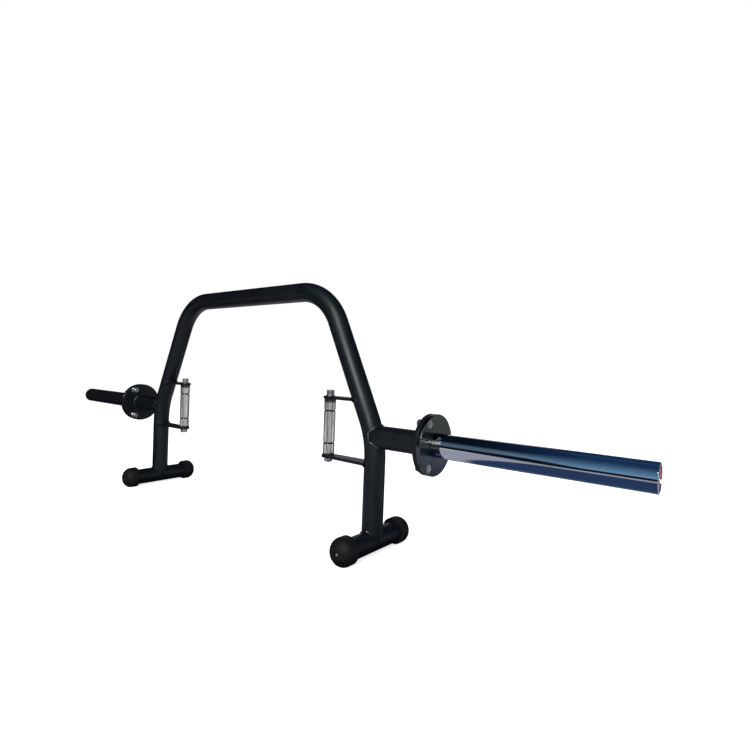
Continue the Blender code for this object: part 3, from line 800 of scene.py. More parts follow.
@dataclass(frozen=True)
class FrameTube:
    """The arched tube's driving sizes and the places along it."""

    knee_rise: float = 0.2292
    lean: float = math.radians(25.4)
    knee_radius: float = 0.210
    shoulder_radius: float = 0.137
    sides: int = 72
    bend_steps: int = 18
    leg_x: float = Box.of("foot_tube_right").middle.x
    foot_z: float = Box.of("foot_tube_right").middle.z
    radius: float = Box.of("arch_frame").size.y / 2
    top: float = Box.of("arch_frame").high.z

    @property
    def corners(self) -> list[Vector]:
        """The corners of the tube's axis, from the right foot to the left one."""
        knee_z = self.foot_z + self.knee_rise
        arch_z = self.top - self.radius
        shoulder_x = self.leg_x - (arch_z - knee_z) * math.tan(self.lean)
        half = [Vector((self.leg_x, 0, self.foot_z)), Vector((self.leg_x, 0, knee_z)),
                Vector((shoulder_x, 0, arch_z))]
        return half + [Vector((-spot.x, 0, spot.z)) for spot in reversed(half)]

    @property
    def bends(self) -> list[Bend]:
        """The four bends in order."""
        corners = self.corners
        radii = (self.knee_radius, self.shoulder_radius, self.shoulder_radius, self.knee_radius)
        bends = []
        for before, corner, after, radius in zip(corners, corners[1:], corners[2:], radii):
            back = (before - corner).normalized()
            ahead = (after - corner).normalized()
            half_angle = back.angle(ahead) / 2
            reach = radius / math.tan(half_angle)
            centre = corner + (back + ahead).normalized() * radius / math.sin(half_angle)
            axis = (-back).cross(ahead).normalized()
            bends.append(Bend(corner + back * reach, corner + ahead * reach, centre, axis,
                              math.pi - 2 * half_angle))
        return bends

    def axis_runs(self) -> list[tuple[Vector, Vector]]:
        """Returns the short straight runs that the tube's axis comes to."""
        points = [self.corners[0]]
        for bend in self.bends:
            spoke = bend.start - bend.centre
            for step in range(self.bend_steps + 1):
                turn = Matrix.Rotation(bend.angle * step / self.bend_steps, 3, bend.axis)
                points.append(bend.centre + turn @ spoke)
        points.append(self.corners[-1])
        return list(zip(points, points[1:]))

    def distance_from_axis(self, point: Vector) -> float:
        """Returns how far a point is from the tube's axis."""
        nearest = math.inf
        for start, stop in self.axis_runs():
            run = stop - start
            share = min(max((point - start).dot(run) / run.length_squared, 0), 1)
            nearest = min(nearest, (start + run * share - point).length)
        return nearest

    def axis_x(self, height: float) -> float:
        """Returns how far from the middle the leg's axis is at a height."""
        for start, stop in self.axis_runs():
            if start.z <= height <= stop.z:
                return start.lerp(stop, (height - start.z) / (stop.z - start.z)).x
        raise ValueError("the frame tube doesn't reach this height")

    def shape(self) -> Shape:
        """Returns the tube, bent run by run and coped onto the foot tubes."""
        shape = Shape()
        mesh = shape.mesh
        at = self.corners[0]
        made = bmesh.ops.create_circle(mesh, segments=self.sides, radius=self.radius,
                                       matrix=Matrix.Translation(at))
        first = made["verts"]
        ring = list({edge for vert in first for edge in vert.link_edges})
        for bend in self.bends:
            ring = self.extruded(mesh, ring, bend.start - at)
            turned = bmesh.ops.spin(mesh, geom=ring, cent=bend.centre, axis=bend.axis,
                                    angle=bend.angle, steps=self.bend_steps)
            ring = [item for item in turned["geom_last"] if isinstance(item, bmesh.types.BMEdge)]
            at = bend.stop
        ring = self.extruded(mesh, ring, self.corners[-1] - at)
        last = list({vert for edge in ring for vert in edge.verts})
        self.cope(first, self.leg_x)
        self.cope(last, -self.leg_x)
        return shape.settled()

    @staticmethod
    def extruded(mesh: bmesh.types.BMesh, ring: list, run: Vector) -> list:
        """Extrudes a ring of edges along a straight run and returns the new ring."""
        made = bmesh.ops.extrude_edge_only(mesh, edges=ring)["geom"]
        verts = {item for item in made if isinstance(item, bmesh.types.BMVert)}
        bmesh.ops.translate(mesh, verts=list(verts), vec=run)
        edges = [item for item in made if isinstance(item, bmesh.types.BMEdge)]
        return [edge for edge in edges if all(vert in verts for vert in edge.verts)]

    def cope(self, verts: Iterable[bmesh.types.BMVert], leg_x: float) -> None:
        """Moves the end of a leg up onto its foot tube, which is as wide as the leg."""
        for vert in verts:
            across = min(abs(vert.co.x - leg_x), self.radius)
            vert.co.z = self.foot_z + math.sqrt(self.radius ** 2 - across ** 2)


@dataclass(frozen=True)
class WeldBead:
    """A weld bead along a path, rippled as a welder's stacked pools leave it."""

    radius: float = 0.0030
    ripple: float = 0.0026
    ripple_share: float = 0.11
    sway_share: float = 0.04
    spacing: float = 0.00065
    sides: int = 10
    seed: int = 7

    def shape(self, path: Sequence[Vector], closed: bool = True) -> Shape:
        """Lays the bead.

        Args:
            path: The points it follows.
            closed: Whether it comes back to its start.

        Returns:
            The bead.
        """
        dice = random.Random(self.seed)
        stations = self.resampled(path, closed)
        curve = bpy.data.curves.new("bead", "CURVE")
        curve.dimensions = "3D"
        curve.bevel_depth = self.radius
        curve.bevel_resolution = self.sides // 2 - 2
        curve.use_fill_caps = not closed
        spline = curve.splines.new("POLY")
        spline.points.add(len(stations) - 1)
        spline.use_cyclic_u = closed
        pools = max(3, round(len(stations) * self.spacing / self.ripple))
        sway = [dice.uniform(-1, 1) for _ in range(pools)]
        for index, (point, spot) in enumerate(zip(spline.points, stations)):
            share = index / len(stations) * pools
            point.co = (*spot, 1)
            point.radius = (1 - self.ripple_share * (share % 1.0) ** 2
                            + self.sway_share * sway[int(share) % pools])
        return Shape.taken(put("bead", curve)).settled()

    def resampled(self, path: Sequence[Vector], closed: bool) -> list[Vector]:
        """Spaces points evenly along a path.

        Args:
            path: The points it goes through.
            closed: Whether it comes back to its start.

        Returns:
            The evenly spaced points.
        """
        loop = list(path) + [path[0]] if closed else list(path)
        lengths = [0.0]
        for start, stop in zip(loop, loop[1:]):
            lengths.append(lengths[-1] + (stop - start).length)
        count = max(12, round(lengths[-1] / self.spacing))
        points = []
        leg = 0
        for step in range(count if closed else count + 1):
            want = lengths[-1] * step / count
            while leg < len(lengths) - 2 and lengths[leg + 1] < want:
                leg += 1
            run = lengths[leg + 1] - lengths[leg]
            points.append(loop[leg].lerp(loop[leg + 1], (want - lengths[leg]) / run))
        return points


@dataclass(frozen=True)
class HexNut:
    """A hexagon nut's sizes: its width across flats, its chamfers and its threaded hole."""

    width: float
    chamfer: float
    bore: float
    mouth: float
    lead: float
    both_ends: bool

    def shape(self, height: float) -> Shape:
        """Makes the nut.

        Args:
            height: How far it hangs below Z = 0.

        Returns:
            The nut.
        """
        wide = self.width / 2 / math.cos(math.pi / 6) + 0.001
        flat = self.width / 2 - 0.0003
        top = [(flat, 0, 0.0004), (wide, -self.chamfer)] if self.both_ends else [(wide, 0)]
        crown = Shape.turned([(0, 0), *top, (wide, self.chamfer - height),
                              (flat, -height, 0.0004), (0, -height)])
        below = -height - 0.0002
        drill = Shape.turned([(0, 0.001), (self.bore, 0.001), (self.bore, self.lead - height),
                              (self.mouth, below), (0, below)], sides=36)
        nut = Shape.hexagon(self.width, -height, 0).carved(crown, "INTERSECT")
        return nut.softened(0.0003, 40, 2).carved(drill)


@dataclass(frozen=True)
class Fasteners:
    """The shapes of the screws, nuts and washers, made from the CAD nodes' own sizes.

    Each hangs below Z = 0. The flange screw's Z = 0 is the flange's face, and its head is
    sunk a little below it.
    """

    edge: float = 0.0006
    flange_shank: float = 0.005
    grip_shank: float = 0.006
    washer_bore: float = 0.0063
    rib_count: int = 40
    rib_radius: float = 0.00048
    flange_hex: HexNut = HexNut(width=0.0165, chamfer=0.0022, bore=0.0052, mouth=0.0060,
                                lead=0.0006, both_ends=False)
    grip_hex: HexNut = HexNut(width=0.018, chamfer=0.0020, bore=0.0062, mouth=0.0071,
                              lead=0.0008, both_ends=True)

    def flange_screw(self) -> Shape:
        """Returns a countersunk socket screw with its thread's tip."""
        box = Box.of("flange_screw_upper_right")
        stop_face = Box.of("sleeve_flange_right").high.x
        head = box.size.y / 2
        top = box.high.x - stop_face
        tip = box.low.x - stop_face
        shank = self.flange_shank
        core = shank - 0.0007
        depth = 0.0008
        body = Shape.turned([
            (0, top), (head - self.edge, top, self.edge), (head, top - self.edge, self.edge / 2),
            (shank, top - head + shank, self.edge), (core, top - head), (core, tip, depth),
            (0, tip)])
        body = body.carved(Shape.hexagon(0.006, top - 0.0035, top + OVERCUT))
        thread = Shape.thread(shank, 0.0015, depth, tip + depth, turns=8)
        return body.softened(0.00025, 55, 2).joined(thread)

    def flange_nut(self) -> Shape:
        """Returns a hexagon nut with a collar."""
        size = Box.of("flange_nut_upper_right").size
        collar = size.y / 2
        bore = self.flange_hex.bore
        root = self.flange_hex.width / 2 - 0.0006
        rim = Shape.turned([(bore, 0), (collar, 0, 0.0004), (collar, -0.0012, 0.0005),
                            (root, -0.003, 0.0004), (bore, -0.003)], closed=True)
        return self.flange_hex.shape(size.x).joined(rim)

    @staticmethod
    def cap_screw() -> Shape:
        """Returns a rubber cap's button-head socket screw."""
        size = Box.of("cap_screw_front_right").size
        head = size.x / 2
        screw = Shape.turned([
            (0, 0), (head * 0.55, 0, head * 0.3), (head, -0.0024, 0.0006),
            (head, -0.0033, 0.0002), (0.003, -0.0033, 0.0002), (0.003, -size.y, 0.0005),
            (0, -size.y)], sides=40)
        return screw.carved(Shape.hexagon(0.004, -0.0020, OVERCUT)).softened(0.0002, 65, 2)

    @staticmethod
    def end_screw() -> Shape:
        """Returns the flat screw in a sleeve's end."""
        head = Box.of("end_screw_right").radius
        screw = Shape.turned([
            (0, 0), (head * 0.6, 0, head * 0.35), (head, -0.0014, 0.0006),
            (head, -0.003, 0.0002), (0.005, -0.003), (0.005, -0.02), (0, -0.02)], sides=64)
        return screw.carved(Shape.hexagon(0.006, -0.0022, OVERCUT)).softened(0.0003, 65, 2)

    def grip_bolt(self) -> Shape:
        """Returns a grip's socket-head bolt with its knurled head."""
        box = Box.of("grip_bolt_right")
        head = box.size.x / 2
        tip = -box.size.z
        under = Box.of("grip_washer_right").high.z + 0.0003 - box.high.z
        shank = self.grip_shank
        core = shank - 0.0009
        body = Shape.turned([
            (0, 0), (head, 0, 0.0009), (head, under, 0.0003), (shank, under, 0.0004),
            (shank, tip + 0.011), (core, tip + 0.010), (core, tip, 0.0009), (0, tip)])
        body = body.carved(Shape.hexagon(0.010, under * 0.55, OVERCUT)).softened(0.0003, 65, 2)
        for spot in circle(head - self.rib_radius * 0.35, self.rib_count):
            rib = Shape.turned([(0, -0.0012), (self.rib_radius, -0.0016),
                                (self.rib_radius, under + 0.0016), (0, under + 0.0012)], sides=6)
            body.joined(rib.moved(Matrix.Translation(spot)))
        return body.joined(Shape.thread(shank, 0.00175, 0.0010, tip + 0.0010, turns=6))

    def grip_nut(self) -> Shape:
        """Returns the nut below a grip."""
        return self.grip_hex.shape(Box.of("grip_nut_right").size.z)

    def washer(self) -> Shape:
        """Returns the washer below a grip bolt's head."""
        size = Box.of("grip_washer_right").size
        radius = size.x / 2
        return Shape.turned([(radius, 0, 0.0005), (radius, -size.z, 0.0005),
                             (self.washer_bore, -size.z), (self.washer_bore, 0, 0.0002)],
                            sides=64, closed=True)


@dataclass(frozen=True)
class ArchedFrame:
    """The welded frame: the arched tube, its feet, stub tubes, flanges and brackets."""

    shop: Paintshop
    tube: FrameTube
    saddle_bead: WeldBead = WeldBead(radius=0.0024, ripple_share=0.06)
    start_bead: WeldBead = WeldBead(radius=0.0034, seed=5)
    stub_bead: WeldBead = WeldBead(radius=0.0034, seed=11)
    flange_bead: WeldBead = WeldBead(radius=0.0036, seed=13)
    plate_bead: WeldBead = WeldBead(radius=0.0026, ripple=0.0022, seed=17)
    foot_wall: float = 0.003
    stub_wall: float = 0.0035
    flange_bore: float = 0.0153
    bead_gap: float = 0.0008
    skin_gap: float = 0.0006
    seam_steps: int = 64
    saddle_steps: int = 96
    start_share: float = 0.775
    plate_tip: float = 0.0165
    plate_arm: float = 0.0205
    plate_flare: float = 0.010
    plate_setback: float = 0.016

    def build(self) -> None:
        """Builds every piece of the frame."""
        self.shop.add("arch_tube", self.tube.shape(), Look.PAINT, "arch_frame")
        for side in Side:
            self.build_foot(side)
            self.build_stub(side)
            self.build_flange(side)
            for kind in ("upper_bracket", "lower_bracket"):
                self.build_bracket(side, kind)

    def build_foot(self, side: Side) -> None:
        """Builds a foot tube and the weld round its leg.

        Args:
            side: The end of the bar.
        """
        node = side.node("foot_tube")
        box = Box.of(node)
        radius = box.radius
        middle = box.middle
        foot = Shape.pipe(radius, radius - self.foot_wall, box.low.y, box.high.y, self.tube.sides)
        foot.moved(towards(Vector((middle.x, 0, middle.z)), Vector((0, 1, 0))))
        self.shop.add(side.node("foot_tube_skin"), foot, Look.PAINT, node)
        path = []
        for spot in circle(self.tube.radius, self.saddle_steps):
            rise = math.sqrt(max(radius ** 2 - spot.x ** 2, 0))
            seam = Vector((middle.x, 0, middle.z + rise + self.bead_gap)) + spot
            path.append(seam + spot.normalized() * self.bead_gap)
        self.shop.add(side.node("foot_weld"), self.saddle_bead.shape(path), Look.PAINT)
        first = round(self.saddle_steps * self.start_share)
        start = [point + Vector((0, 0, 0.0022)) for point in path[first:first + 5]]
        self.shop.add(side.node("weld_start"), self.start_bead.shape(start, closed=False),
                      Look.WELD_PAINT)

    def build_stub(self, side: Side) -> None:
        """Builds a stub tube, the weld to its leg and the weld to its flange.

        Args:
            side: The end of the bar.
        """
        node = side.node("stub_tube")
        radius = Box.of(node).radius
        axis_z = Box.of(node).middle.z
        start = self.tube.leg_x
        stop = Box.of("stub_tube_right").high.x
        stub = Shape.pipe(radius, radius - self.stub_wall, 0, stop - start, self.tube.sides)
        stub.moved(side.seat(start, axis_z))
        self.shop.add(side.node("stub_skin"), stub, Look.PAINT, node)
        seam = [self.seam_point(side, spot, axis_z)
                for spot in circle(radius + self.skin_gap, self.seam_steps)]
        self.shop.add(side.node("leg_weld"), self.stub_bead.shape(seam), Look.WELD_PAINT)
        ring = [Vector((side.value * (stop - self.bead_gap), spot.x, axis_z + spot.y))
                for spot in circle(radius + 0.0009, self.seam_steps)]
        self.shop.add(side.node("flange_weld"), self.flange_bead.shape(ring), Look.WELD_PAINT)

    def seam_point(self, side: Side, spot: Vector, axis_z: float) -> Vector:
        """Returns where a line along a stub tube comes out of the leg's surface.

        Args:
            side: The stub tube's side.
            spot: The line's place across the tube and up from its axis.
            axis_z: The height of the tube's axis.

        Returns:
            The point.
        """
        y = spot.x
        z = axis_z + spot.y
        skin = self.tube.radius + self.skin_gap
        flank = min(max(y, -0.97 * skin), 0.97 * skin)
        inside = self.tube.leg_x - self.tube.radius
        outside = self.tube.leg_x + 3 * self.tube.radius
        for _ in range(24):
            x = (inside + outside) / 2
            if self.tube.distance_from_axis(Vector((x, flank, z))) < skin:
                inside = x
            else:
                outside = x
        return Vector((side.value * outside, y, z))

    def build_flange(self, side: Side) -> None:
        """Builds the frame's flange, bored for the spindle.

        Args:
            side: The end of the bar.
        """
        box = Box.of("frame_flange_right")
        thick = box.size.x
        flange = Shape.turned([(box.radius, thick, 0.0012), (box.radius, 0, 0.0012),
                               (self.flange_bore, 0), (self.flange_bore, thick)],
                              sides=128, closed=True)
        flange.moved(side.seat(box.low.x, box.middle.z))
        self.shop.add(side.node("frame_flange_skin"), flange, Look.PAINT,
                      side.node("frame_flange"))

    def build_bracket(self, side: Side, kind: str) -> None:
        """Builds a bracket plate and the weld round its root.

        Args:
            side: The end of the bar.
            kind: Whether it is the upper or the lower plate, as the node names have it.
        """
        node = side.node(kind)
        box = Box.of(node)
        grip_x = abs(Box.of(side.node("grip")).middle.x)
        reach = self.tube.axis_x(box.middle.z) - self.plate_setback - grip_x
        flare = math.acos(1 - (self.tube.radius - self.plate_arm) / self.plate_flare)
        flare_start = reach - self.plate_flare * math.sin(flare)
        taper = math.asin((self.plate_arm - self.plate_tip) / flare_start)
        half = arc(Vector(), self.plate_tip, math.pi, math.pi / 2 + taper, 16)
        centre = Vector((flare_start, self.plate_arm + self.plate_flare, 0))
        half += arc(centre, self.plate_flare, -math.pi / 2, flare - math.pi / 2, 6)
        outline = half + [Vector((p.x, -p.y, 0)) for p in reversed(half[1:])]
        placed = [Vector((side.value * (grip_x + p.x), p.y, 0)) for p in outline]
        plate = Shape.prism(placed, box.low.z, box.high.z).softened(0.0006, 60, 3)
        self.shop.add(side.node(kind + "_plate"), plate, Look.PAINT, node)
        self.shop.add(side.node(kind + "_weld"), self.bracket_weld(side, box), Look.PAINT)

    def bracket_weld(self, side: Side, plate: Box) -> Shape:
        """Lays the bead above, round the horns and below a bracket plate's root.

        Args:
            side: The end of the bar.
            plate: The plate's box.

        Returns:
            The bead.
        """
        spread = math.radians(88)
        loop = []
        for z, turn in ((plate.high.z + self.bead_gap, 1), (plate.low.z - self.bead_gap, -1)):
            centre = Vector((self.tube.axis_x(z), 0, z))
            points = arc(centre, self.tube.radius + self.skin_gap, math.pi - turn * spread,
                         math.pi + turn * spread, 36)
            loop += [Vector((side.value * p.x, p.y, z)) for p in points]
        return self.plate_bead.shape(loop)


@dataclass(frozen=True)
class RubberFeet:
    """The domed caps on the foot tubes, with their screws."""

    shop: Paintshop
    fasteners: Fasteners
    dome_steps: int = 12
    sides: int = 72
    skirt: float = 0.017
    dome: float = 0.024
    edge: float = 0.0016
    fillet: float = 0.0003
    screw_gap: float = 0.0006
    screw_depth: float = 0.0035

    def build(self) -> None:
        """Builds the four caps and their screws."""
        screw = self.fasteners.cap_screw()
        for side in Side:
            for end in End:
                self.build_corner(side, end, screw)

    def build_corner(self, side: Side, end: End, screw: Shape) -> None:
        """Builds one cap and its screw.

        Args:
            side: The foot's side.
            end: The foot's end.
            screw: The screw, which is copied.
        """
        corner = f"{end.word}_{side.word}"
        box = Box.of(f"foot_cap_{corner}")
        head = Box.of(f"cap_screw_{corner}")
        tube = Box.of(side.node("foot_tube"))
        x, _, tube_z = tube.middle
        radius = box.size.x / 2
        axis_z = box.high.z - radius
        at_tube = end.seat(x, tube.reach, tube_z)
        cap = self.domed(radius).moved(end.seat(x, tube.reach, axis_z))
        self.flatten(cap, box.low.z)
        bore = tube.radius + 0.0003
        socket = Shape.turned([(0, 0), (bore, 0), (bore, -self.skirt * 2), (0, -self.skirt * 2)],
                              self.sides)
        rise = box.reach - tube.reach
        rim = radius * math.sqrt(1 - (rise / self.dome) ** 2) + abs(axis_z - tube_z) + 0.0002
        well = self.well(rim, rise, head.size.x / 2 + self.screw_gap,
                         head.reach - tube.reach - self.screw_depth)
        cap = cap.settled().carved(socket.moved(at_tube)).carved(well.moved(at_tube))
        self.shop.add(f"rubber_cap_{corner}", cap, Look.RUBBER, f"foot_cap_{corner}")
        # The screw's darker zinc stands partly for the shade in its well: painted shade
        self.shop.add(f"button_screw_{corner}",
                      screw.copied().moved(end.seat(x, head.reach, tube_z)),
                      Look.DULL_ZINC, f"cap_screw_{corner}")

    def domed(self, radius: float) -> Shape:
        """Returns a cap's round body, with the tube's end at Z = 0."""
        turns = [math.pi / 2 * step / self.dome_steps for step in range(self.dome_steps + 1)]
        profile = [(radius * math.sin(turn), self.dome * math.cos(turn)) for turn in turns]
        profile += [(radius, -self.skirt, self.edge), (0, -self.skirt)]
        return Shape.turned(profile, self.sides)

    @staticmethod
    def flatten(cap: Shape, floor: float) -> None:
        """Cuts a cap off level where it stands on the floor, and rounds the cut's edge."""
        mesh = cap.mesh
        bmesh.ops.bisect_plane(mesh, geom=[*mesh.verts, *mesh.edges, *mesh.faces],
                               plane_co=(0, 0, floor), plane_no=(0, 0, -1), clear_outer=True)
        cut = [edge for edge in mesh.edges if edge.is_boundary]
        bmesh.ops.holes_fill(mesh, edges=cut, sides=0)
        cap.softened(0.0012, 35, 3)

    def well(self, rim: float, rise: float, radius: float, floor: float) -> Shape:
        """Returns what is cut out of a dome for the screw.

        Args:
            rim: The dish's radius where it meets the dome.
            rise: The height at which the dome is cut off.
            radius: The radius round the screw's head.
            floor: The height below the head.

        Returns:
            The cutter, on Z.
        """
        return Shape.turned([
            (0, rise + 0.006), (rim + 0.004, rise + 0.006),
            (rim - 0.0008, rise - 0.0012, self.fillet), (radius, rise - 0.0018, self.fillet),
            (radius, floor, self.fillet), (0, floor)])


@dataclass(frozen=True)
class Sleeves:
    """The bolted flanges, the rotating sleeves and what holds them."""

    shop: Paintshop
    fasteners: Fasteners
    sides: int = 128
    bolt_circle: float = 0.051
    bolt_angles: tuple[tuple[str, float], ...] = (("upper", 60.0), ("rear", 180.0), ("lower", 300.0))
    flange_bore: float = 0.0153
    recess: float = 0.0256
    recess_depth: float = 0.0005
    sink: float = 0.0103
    hole: float = 0.0053
    lip: float = 0.0025
    bore: float = 0.0188

    @property
    def bolts(self) -> list[tuple[str, float, float]]:
        """Each bolt's name, and its place across the flange and up from its middle."""
        return [(name, -self.bolt_circle * math.cos(math.radians(turn)),
                 self.bolt_circle * math.sin(math.radians(turn)))
                for name, turn in self.bolt_angles]

    def build(self) -> None:
        """Builds both sides."""
        axis_z = Box.of("sleeve_right").middle.z
        kinds = (("flange_screw", Box.of("sleeve_flange_right").high.x,
                  self.fasteners.flange_screw(), Look.DULL_ZINC),
                 ("flange_nut", Box.of("flange_nut_upper_right").high.x,
                  self.fasteners.flange_nut(), Look.ZINC))
        for side in Side:
            self.build_flange(side)
            self.build_sleeve(side)
            self.build_end(side)
            for name, across, up in self.bolts:
                for kind, x, shape, look in kinds:
                    node = side.node(f"{kind}_{name}")
                    place = side.seat(x, axis_z + up, across)
                    self.shop.add(f"{node}_detail", shape.copied().moved(place), look, node)

    def add(self, side: Side, name: str, shape: Shape, look: Look, kind: str,
            body: str = "frame") -> None:
        """Adds a shape that starts where its CAD node does.

        Args:
            side: The piece's side.
            name: Its name, without the side.
            shape: Its shape, on Z.
            look: Its finish.
            kind: The kind of node that it stands for.
            body: The body that it moves with.
        """
        box = Box.of(f"{kind}_right")
        place = side.seat(box.low.x, box.middle.z)
        self.shop.add(side.node(name), shape.moved(place), look, side.node(kind), body=body)

    def build_flange(self, side: Side) -> None:
        """Builds the sleeve's flange, countersunk for its screws.

        Args:
            side: The end of the bar.
        """
        box = Box.of("sleeve_flange_right")
        thick = box.size.x
        floor = thick - self.recess_depth
        flange = Shape.turned([
            (box.radius, thick, 0.0011), (box.radius, 0, 0.0012), (self.flange_bore, 0),
            (self.flange_bore, floor), (self.recess, floor), (self.recess, thick, 0.0003)],
            self.sides, closed=True)
        upright = towards(Vector(), Vector((1, 0, 0))).inverted()
        for _, across, up in self.bolts:
            drill = Shape.turned([
                (0, thick + 0.001), (self.sink + 0.001, thick + 0.001), (self.sink, thick),
                (self.hole, thick - self.sink + self.hole), (self.hole, -0.001), (0, -0.001)])
            spot = upright @ Vector((0, across * side.value, up))
            flange = flange.carved(drill.moved(Matrix.Translation(spot)))
        self.add(side, "stop_flange", flange, Look.GLOSS, "sleeve_flange")

    def build_sleeve(self, side: Side) -> None:
        """Builds the chrome sleeve with its recessed end.

        Args:
            side: The end of the bar.
        """
        box = Box.of("sleeve_right")
        washer = Box.of("end_washer_right")
        length = box.size.x
        mouth = washer.radius + 0.0004
        floor = washer.low.x - box.low.x - 0.004
        sleeve = Shape.turned([
            (box.radius, length, 0.0002), (box.radius, 0, 0.0010), (mouth, 0, 0.0003),
            (mouth, self.lip), (self.bore, self.lip), (self.bore, floor), (mouth, floor),
            (mouth, length, 0.0006)], self.sides, closed=True)
        self.add(side, "chrome_sleeve", sleeve, Look.CHROME, "sleeve", f"{side.word}_sleeve")

    def build_end(self, side: Side) -> None:
        """Builds the copper-red ring and the screw in a sleeve's end.

        Args:
            side: The end of the bar.
        """
        box = Box.of("end_washer_right")
        head = Box.of("end_screw_right")
        thick = box.size.x
        seat = thick - 0.0036
        well = head.radius + 0.0006
        bore = 0.0053
        ring = Shape.turned([
            (box.radius, thick, 0.0008), (box.radius, 0), (bore, 0), (bore, seat), (well, seat),
            (well, thick, 0.0005)], sides=96, closed=True)
        self.add(side, "end_ring", ring, Look.COPPER, "end_washer")
        screw = self.fasteners.end_screw().moved(side.seat(head.high.x, box.middle.z))
        self.shop.add(side.node("end_screw_detail"), screw, Look.ZINC, side.node("end_screw"))


@dataclass(frozen=True)
class Grips:
    """The upright grips, knurled between their two grooves, and their bolts."""

    shop: Paintshop
    fasteners: Fasteners
    bore: float = 0.0063
    brink: float = 0.0003
    groove_inset: float = 0.026
    groove_width: float = 0.0042
    groove_depth: float = 0.0014
    knurl_columns: int = 148
    knurl_pitch: float = 0.00060
    knurl_depth: float = 0.00011

    def build(self) -> None:
        """Builds both grips and their fasteners."""
        kinds = (("socket_bolt", self.fasteners.grip_bolt(), Look.DULL_ZINC, "grip_bolt"),
                 ("locking_nut", self.fasteners.grip_nut(), Look.ZINC, "grip_nut"),
                 ("flat_washer", self.fasteners.washer(), Look.ZINC, "grip_washer"))
        for side in Side:
            self.build_grip(side)
            for name, shape, look, kind in kinds:
                node = side.node(kind)
                box = Box.of(node)
                place = Matrix.Translation((box.middle.x, 0, box.high.z))
                self.shop.add(side.node(name), shape.copied().moved(place), look, node)

    def build_grip(self, side: Side) -> None:
        """Builds one grip with real knurl.

        Args:
            side: The end of the bar.
        """
        node = side.node("grip")
        box = Box.of(node)
        radius = box.size.x / 2
        half = box.size.z / 2
        brink = self.brink
        groove = radius - self.groove_depth
        top = half - self.groove_inset
        bottom = top - self.groove_width
        upper = [(self.bore, half), (radius, half, 0.0010), (radius, top, brink),
                 (groove, top - brink, brink), (groove, bottom + brink, brink),
                 (radius, bottom, brink)]
        lower = [(across, -height, *fillet) for across, height, *fillet in reversed(upper)]
        rows = round((2 * bottom - 0.001) / self.knurl_pitch / 2) * 2
        knurl = [(radius, self.knurl_pitch * (rows / 2 - row)) for row in range(rows + 1)]
        grip = Shape.turned(upper + knurl + lower, self.knurl_columns, closed=True)
        self.knurl(grip.mesh, radius, rows)
        grip.moved(Matrix.Translation((box.middle.x, 0, box.middle.z)))
        self.shop.add(side.node("knurled_grip"), grip, Look.GRIP_CHROME, node)

    def knurl(self, mesh: bmesh.types.BMesh, radius: float, rows: int) -> None:
        """Presses every other point of the middle rows inwards, which leaves small pyramids.

        Args:
            mesh: The grip's mesh, on Z.
            radius: The grip's radius.
            rows: How many rows of faces the knurl has.
        """
        pressed = []
        zone = set()
        for vert in mesh.verts:
            height = vert.co.z / self.knurl_pitch + rows / 2
            row = round(height)
            on_skin = math.hypot(vert.co.x, vert.co.y) > radius - WELD_DISTANCE
            if not on_skin or abs(height - row) > 0.01 or not 0 <= row <= rows:
                continue
            zone.add(vert)
            column = round(math.atan2(vert.co.y, vert.co.x) / math.tau * self.knurl_columns)
            if (column + row) % 2 == 1 and 0 < row < rows:
                pressed.append(vert)
        share = 1 - self.knurl_depth / radius
        bmesh.ops.scale(mesh, vec=(share, share, 1), verts=pressed)
        faces = [face for face in mesh.faces if all(vert in zone for vert in face.verts)]
        bmesh.ops.triangulate(mesh, faces=faces, quad_method="SHORT_EDGE")


@dataclass(frozen=True)
class Viewpoint:
    """Where the photograph was taken from, solved from the bar's outlines."""

    x: float = 1.1054
    y: float = -0.8477
    above_foot_tubes: float = 0.3852
    yaw: float = 0.6557
    pitch: float = -0.0160
    roll: float = 0.0380
    focal_pixels: float = 479.4
    frame_pixels: int = 752
    sensor: float = 36.0

    def build(self, foot_z: float) -> None:
        """Makes the camera.

        Args:
            foot_z: The height of the foot tubes' axis.
        """
        data = bpy.data.cameras.new("camera")
        data.sensor_width = self.sensor
        data.lens = self.focal_pixels / self.frame_pixels * self.sensor
        data.clip_start = 0.01
        camera = put("camera", data)
        level = Vector((-math.sin(self.yaw), math.cos(self.yaw), 0))
        side = Vector((math.cos(self.yaw), math.sin(self.yaw), 0))
        rise = Vector((0, 0, 1))
        ahead = level * math.cos(self.pitch) + rise * math.sin(self.pitch)
        up = rise * math.cos(self.pitch) - level * math.sin(self.pitch)
        right = side * math.cos(self.roll) + up * math.sin(self.roll)
        top = up * math.cos(self.roll) - side * math.sin(self.roll)
        place = Matrix((right, top, -ahead)).transposed().to_4x4()
        place.translation = (self.x, self.y, foot_z + self.above_foot_tubes)
        camera.matrix_world = place
        bpy.context.scene.camera = camera


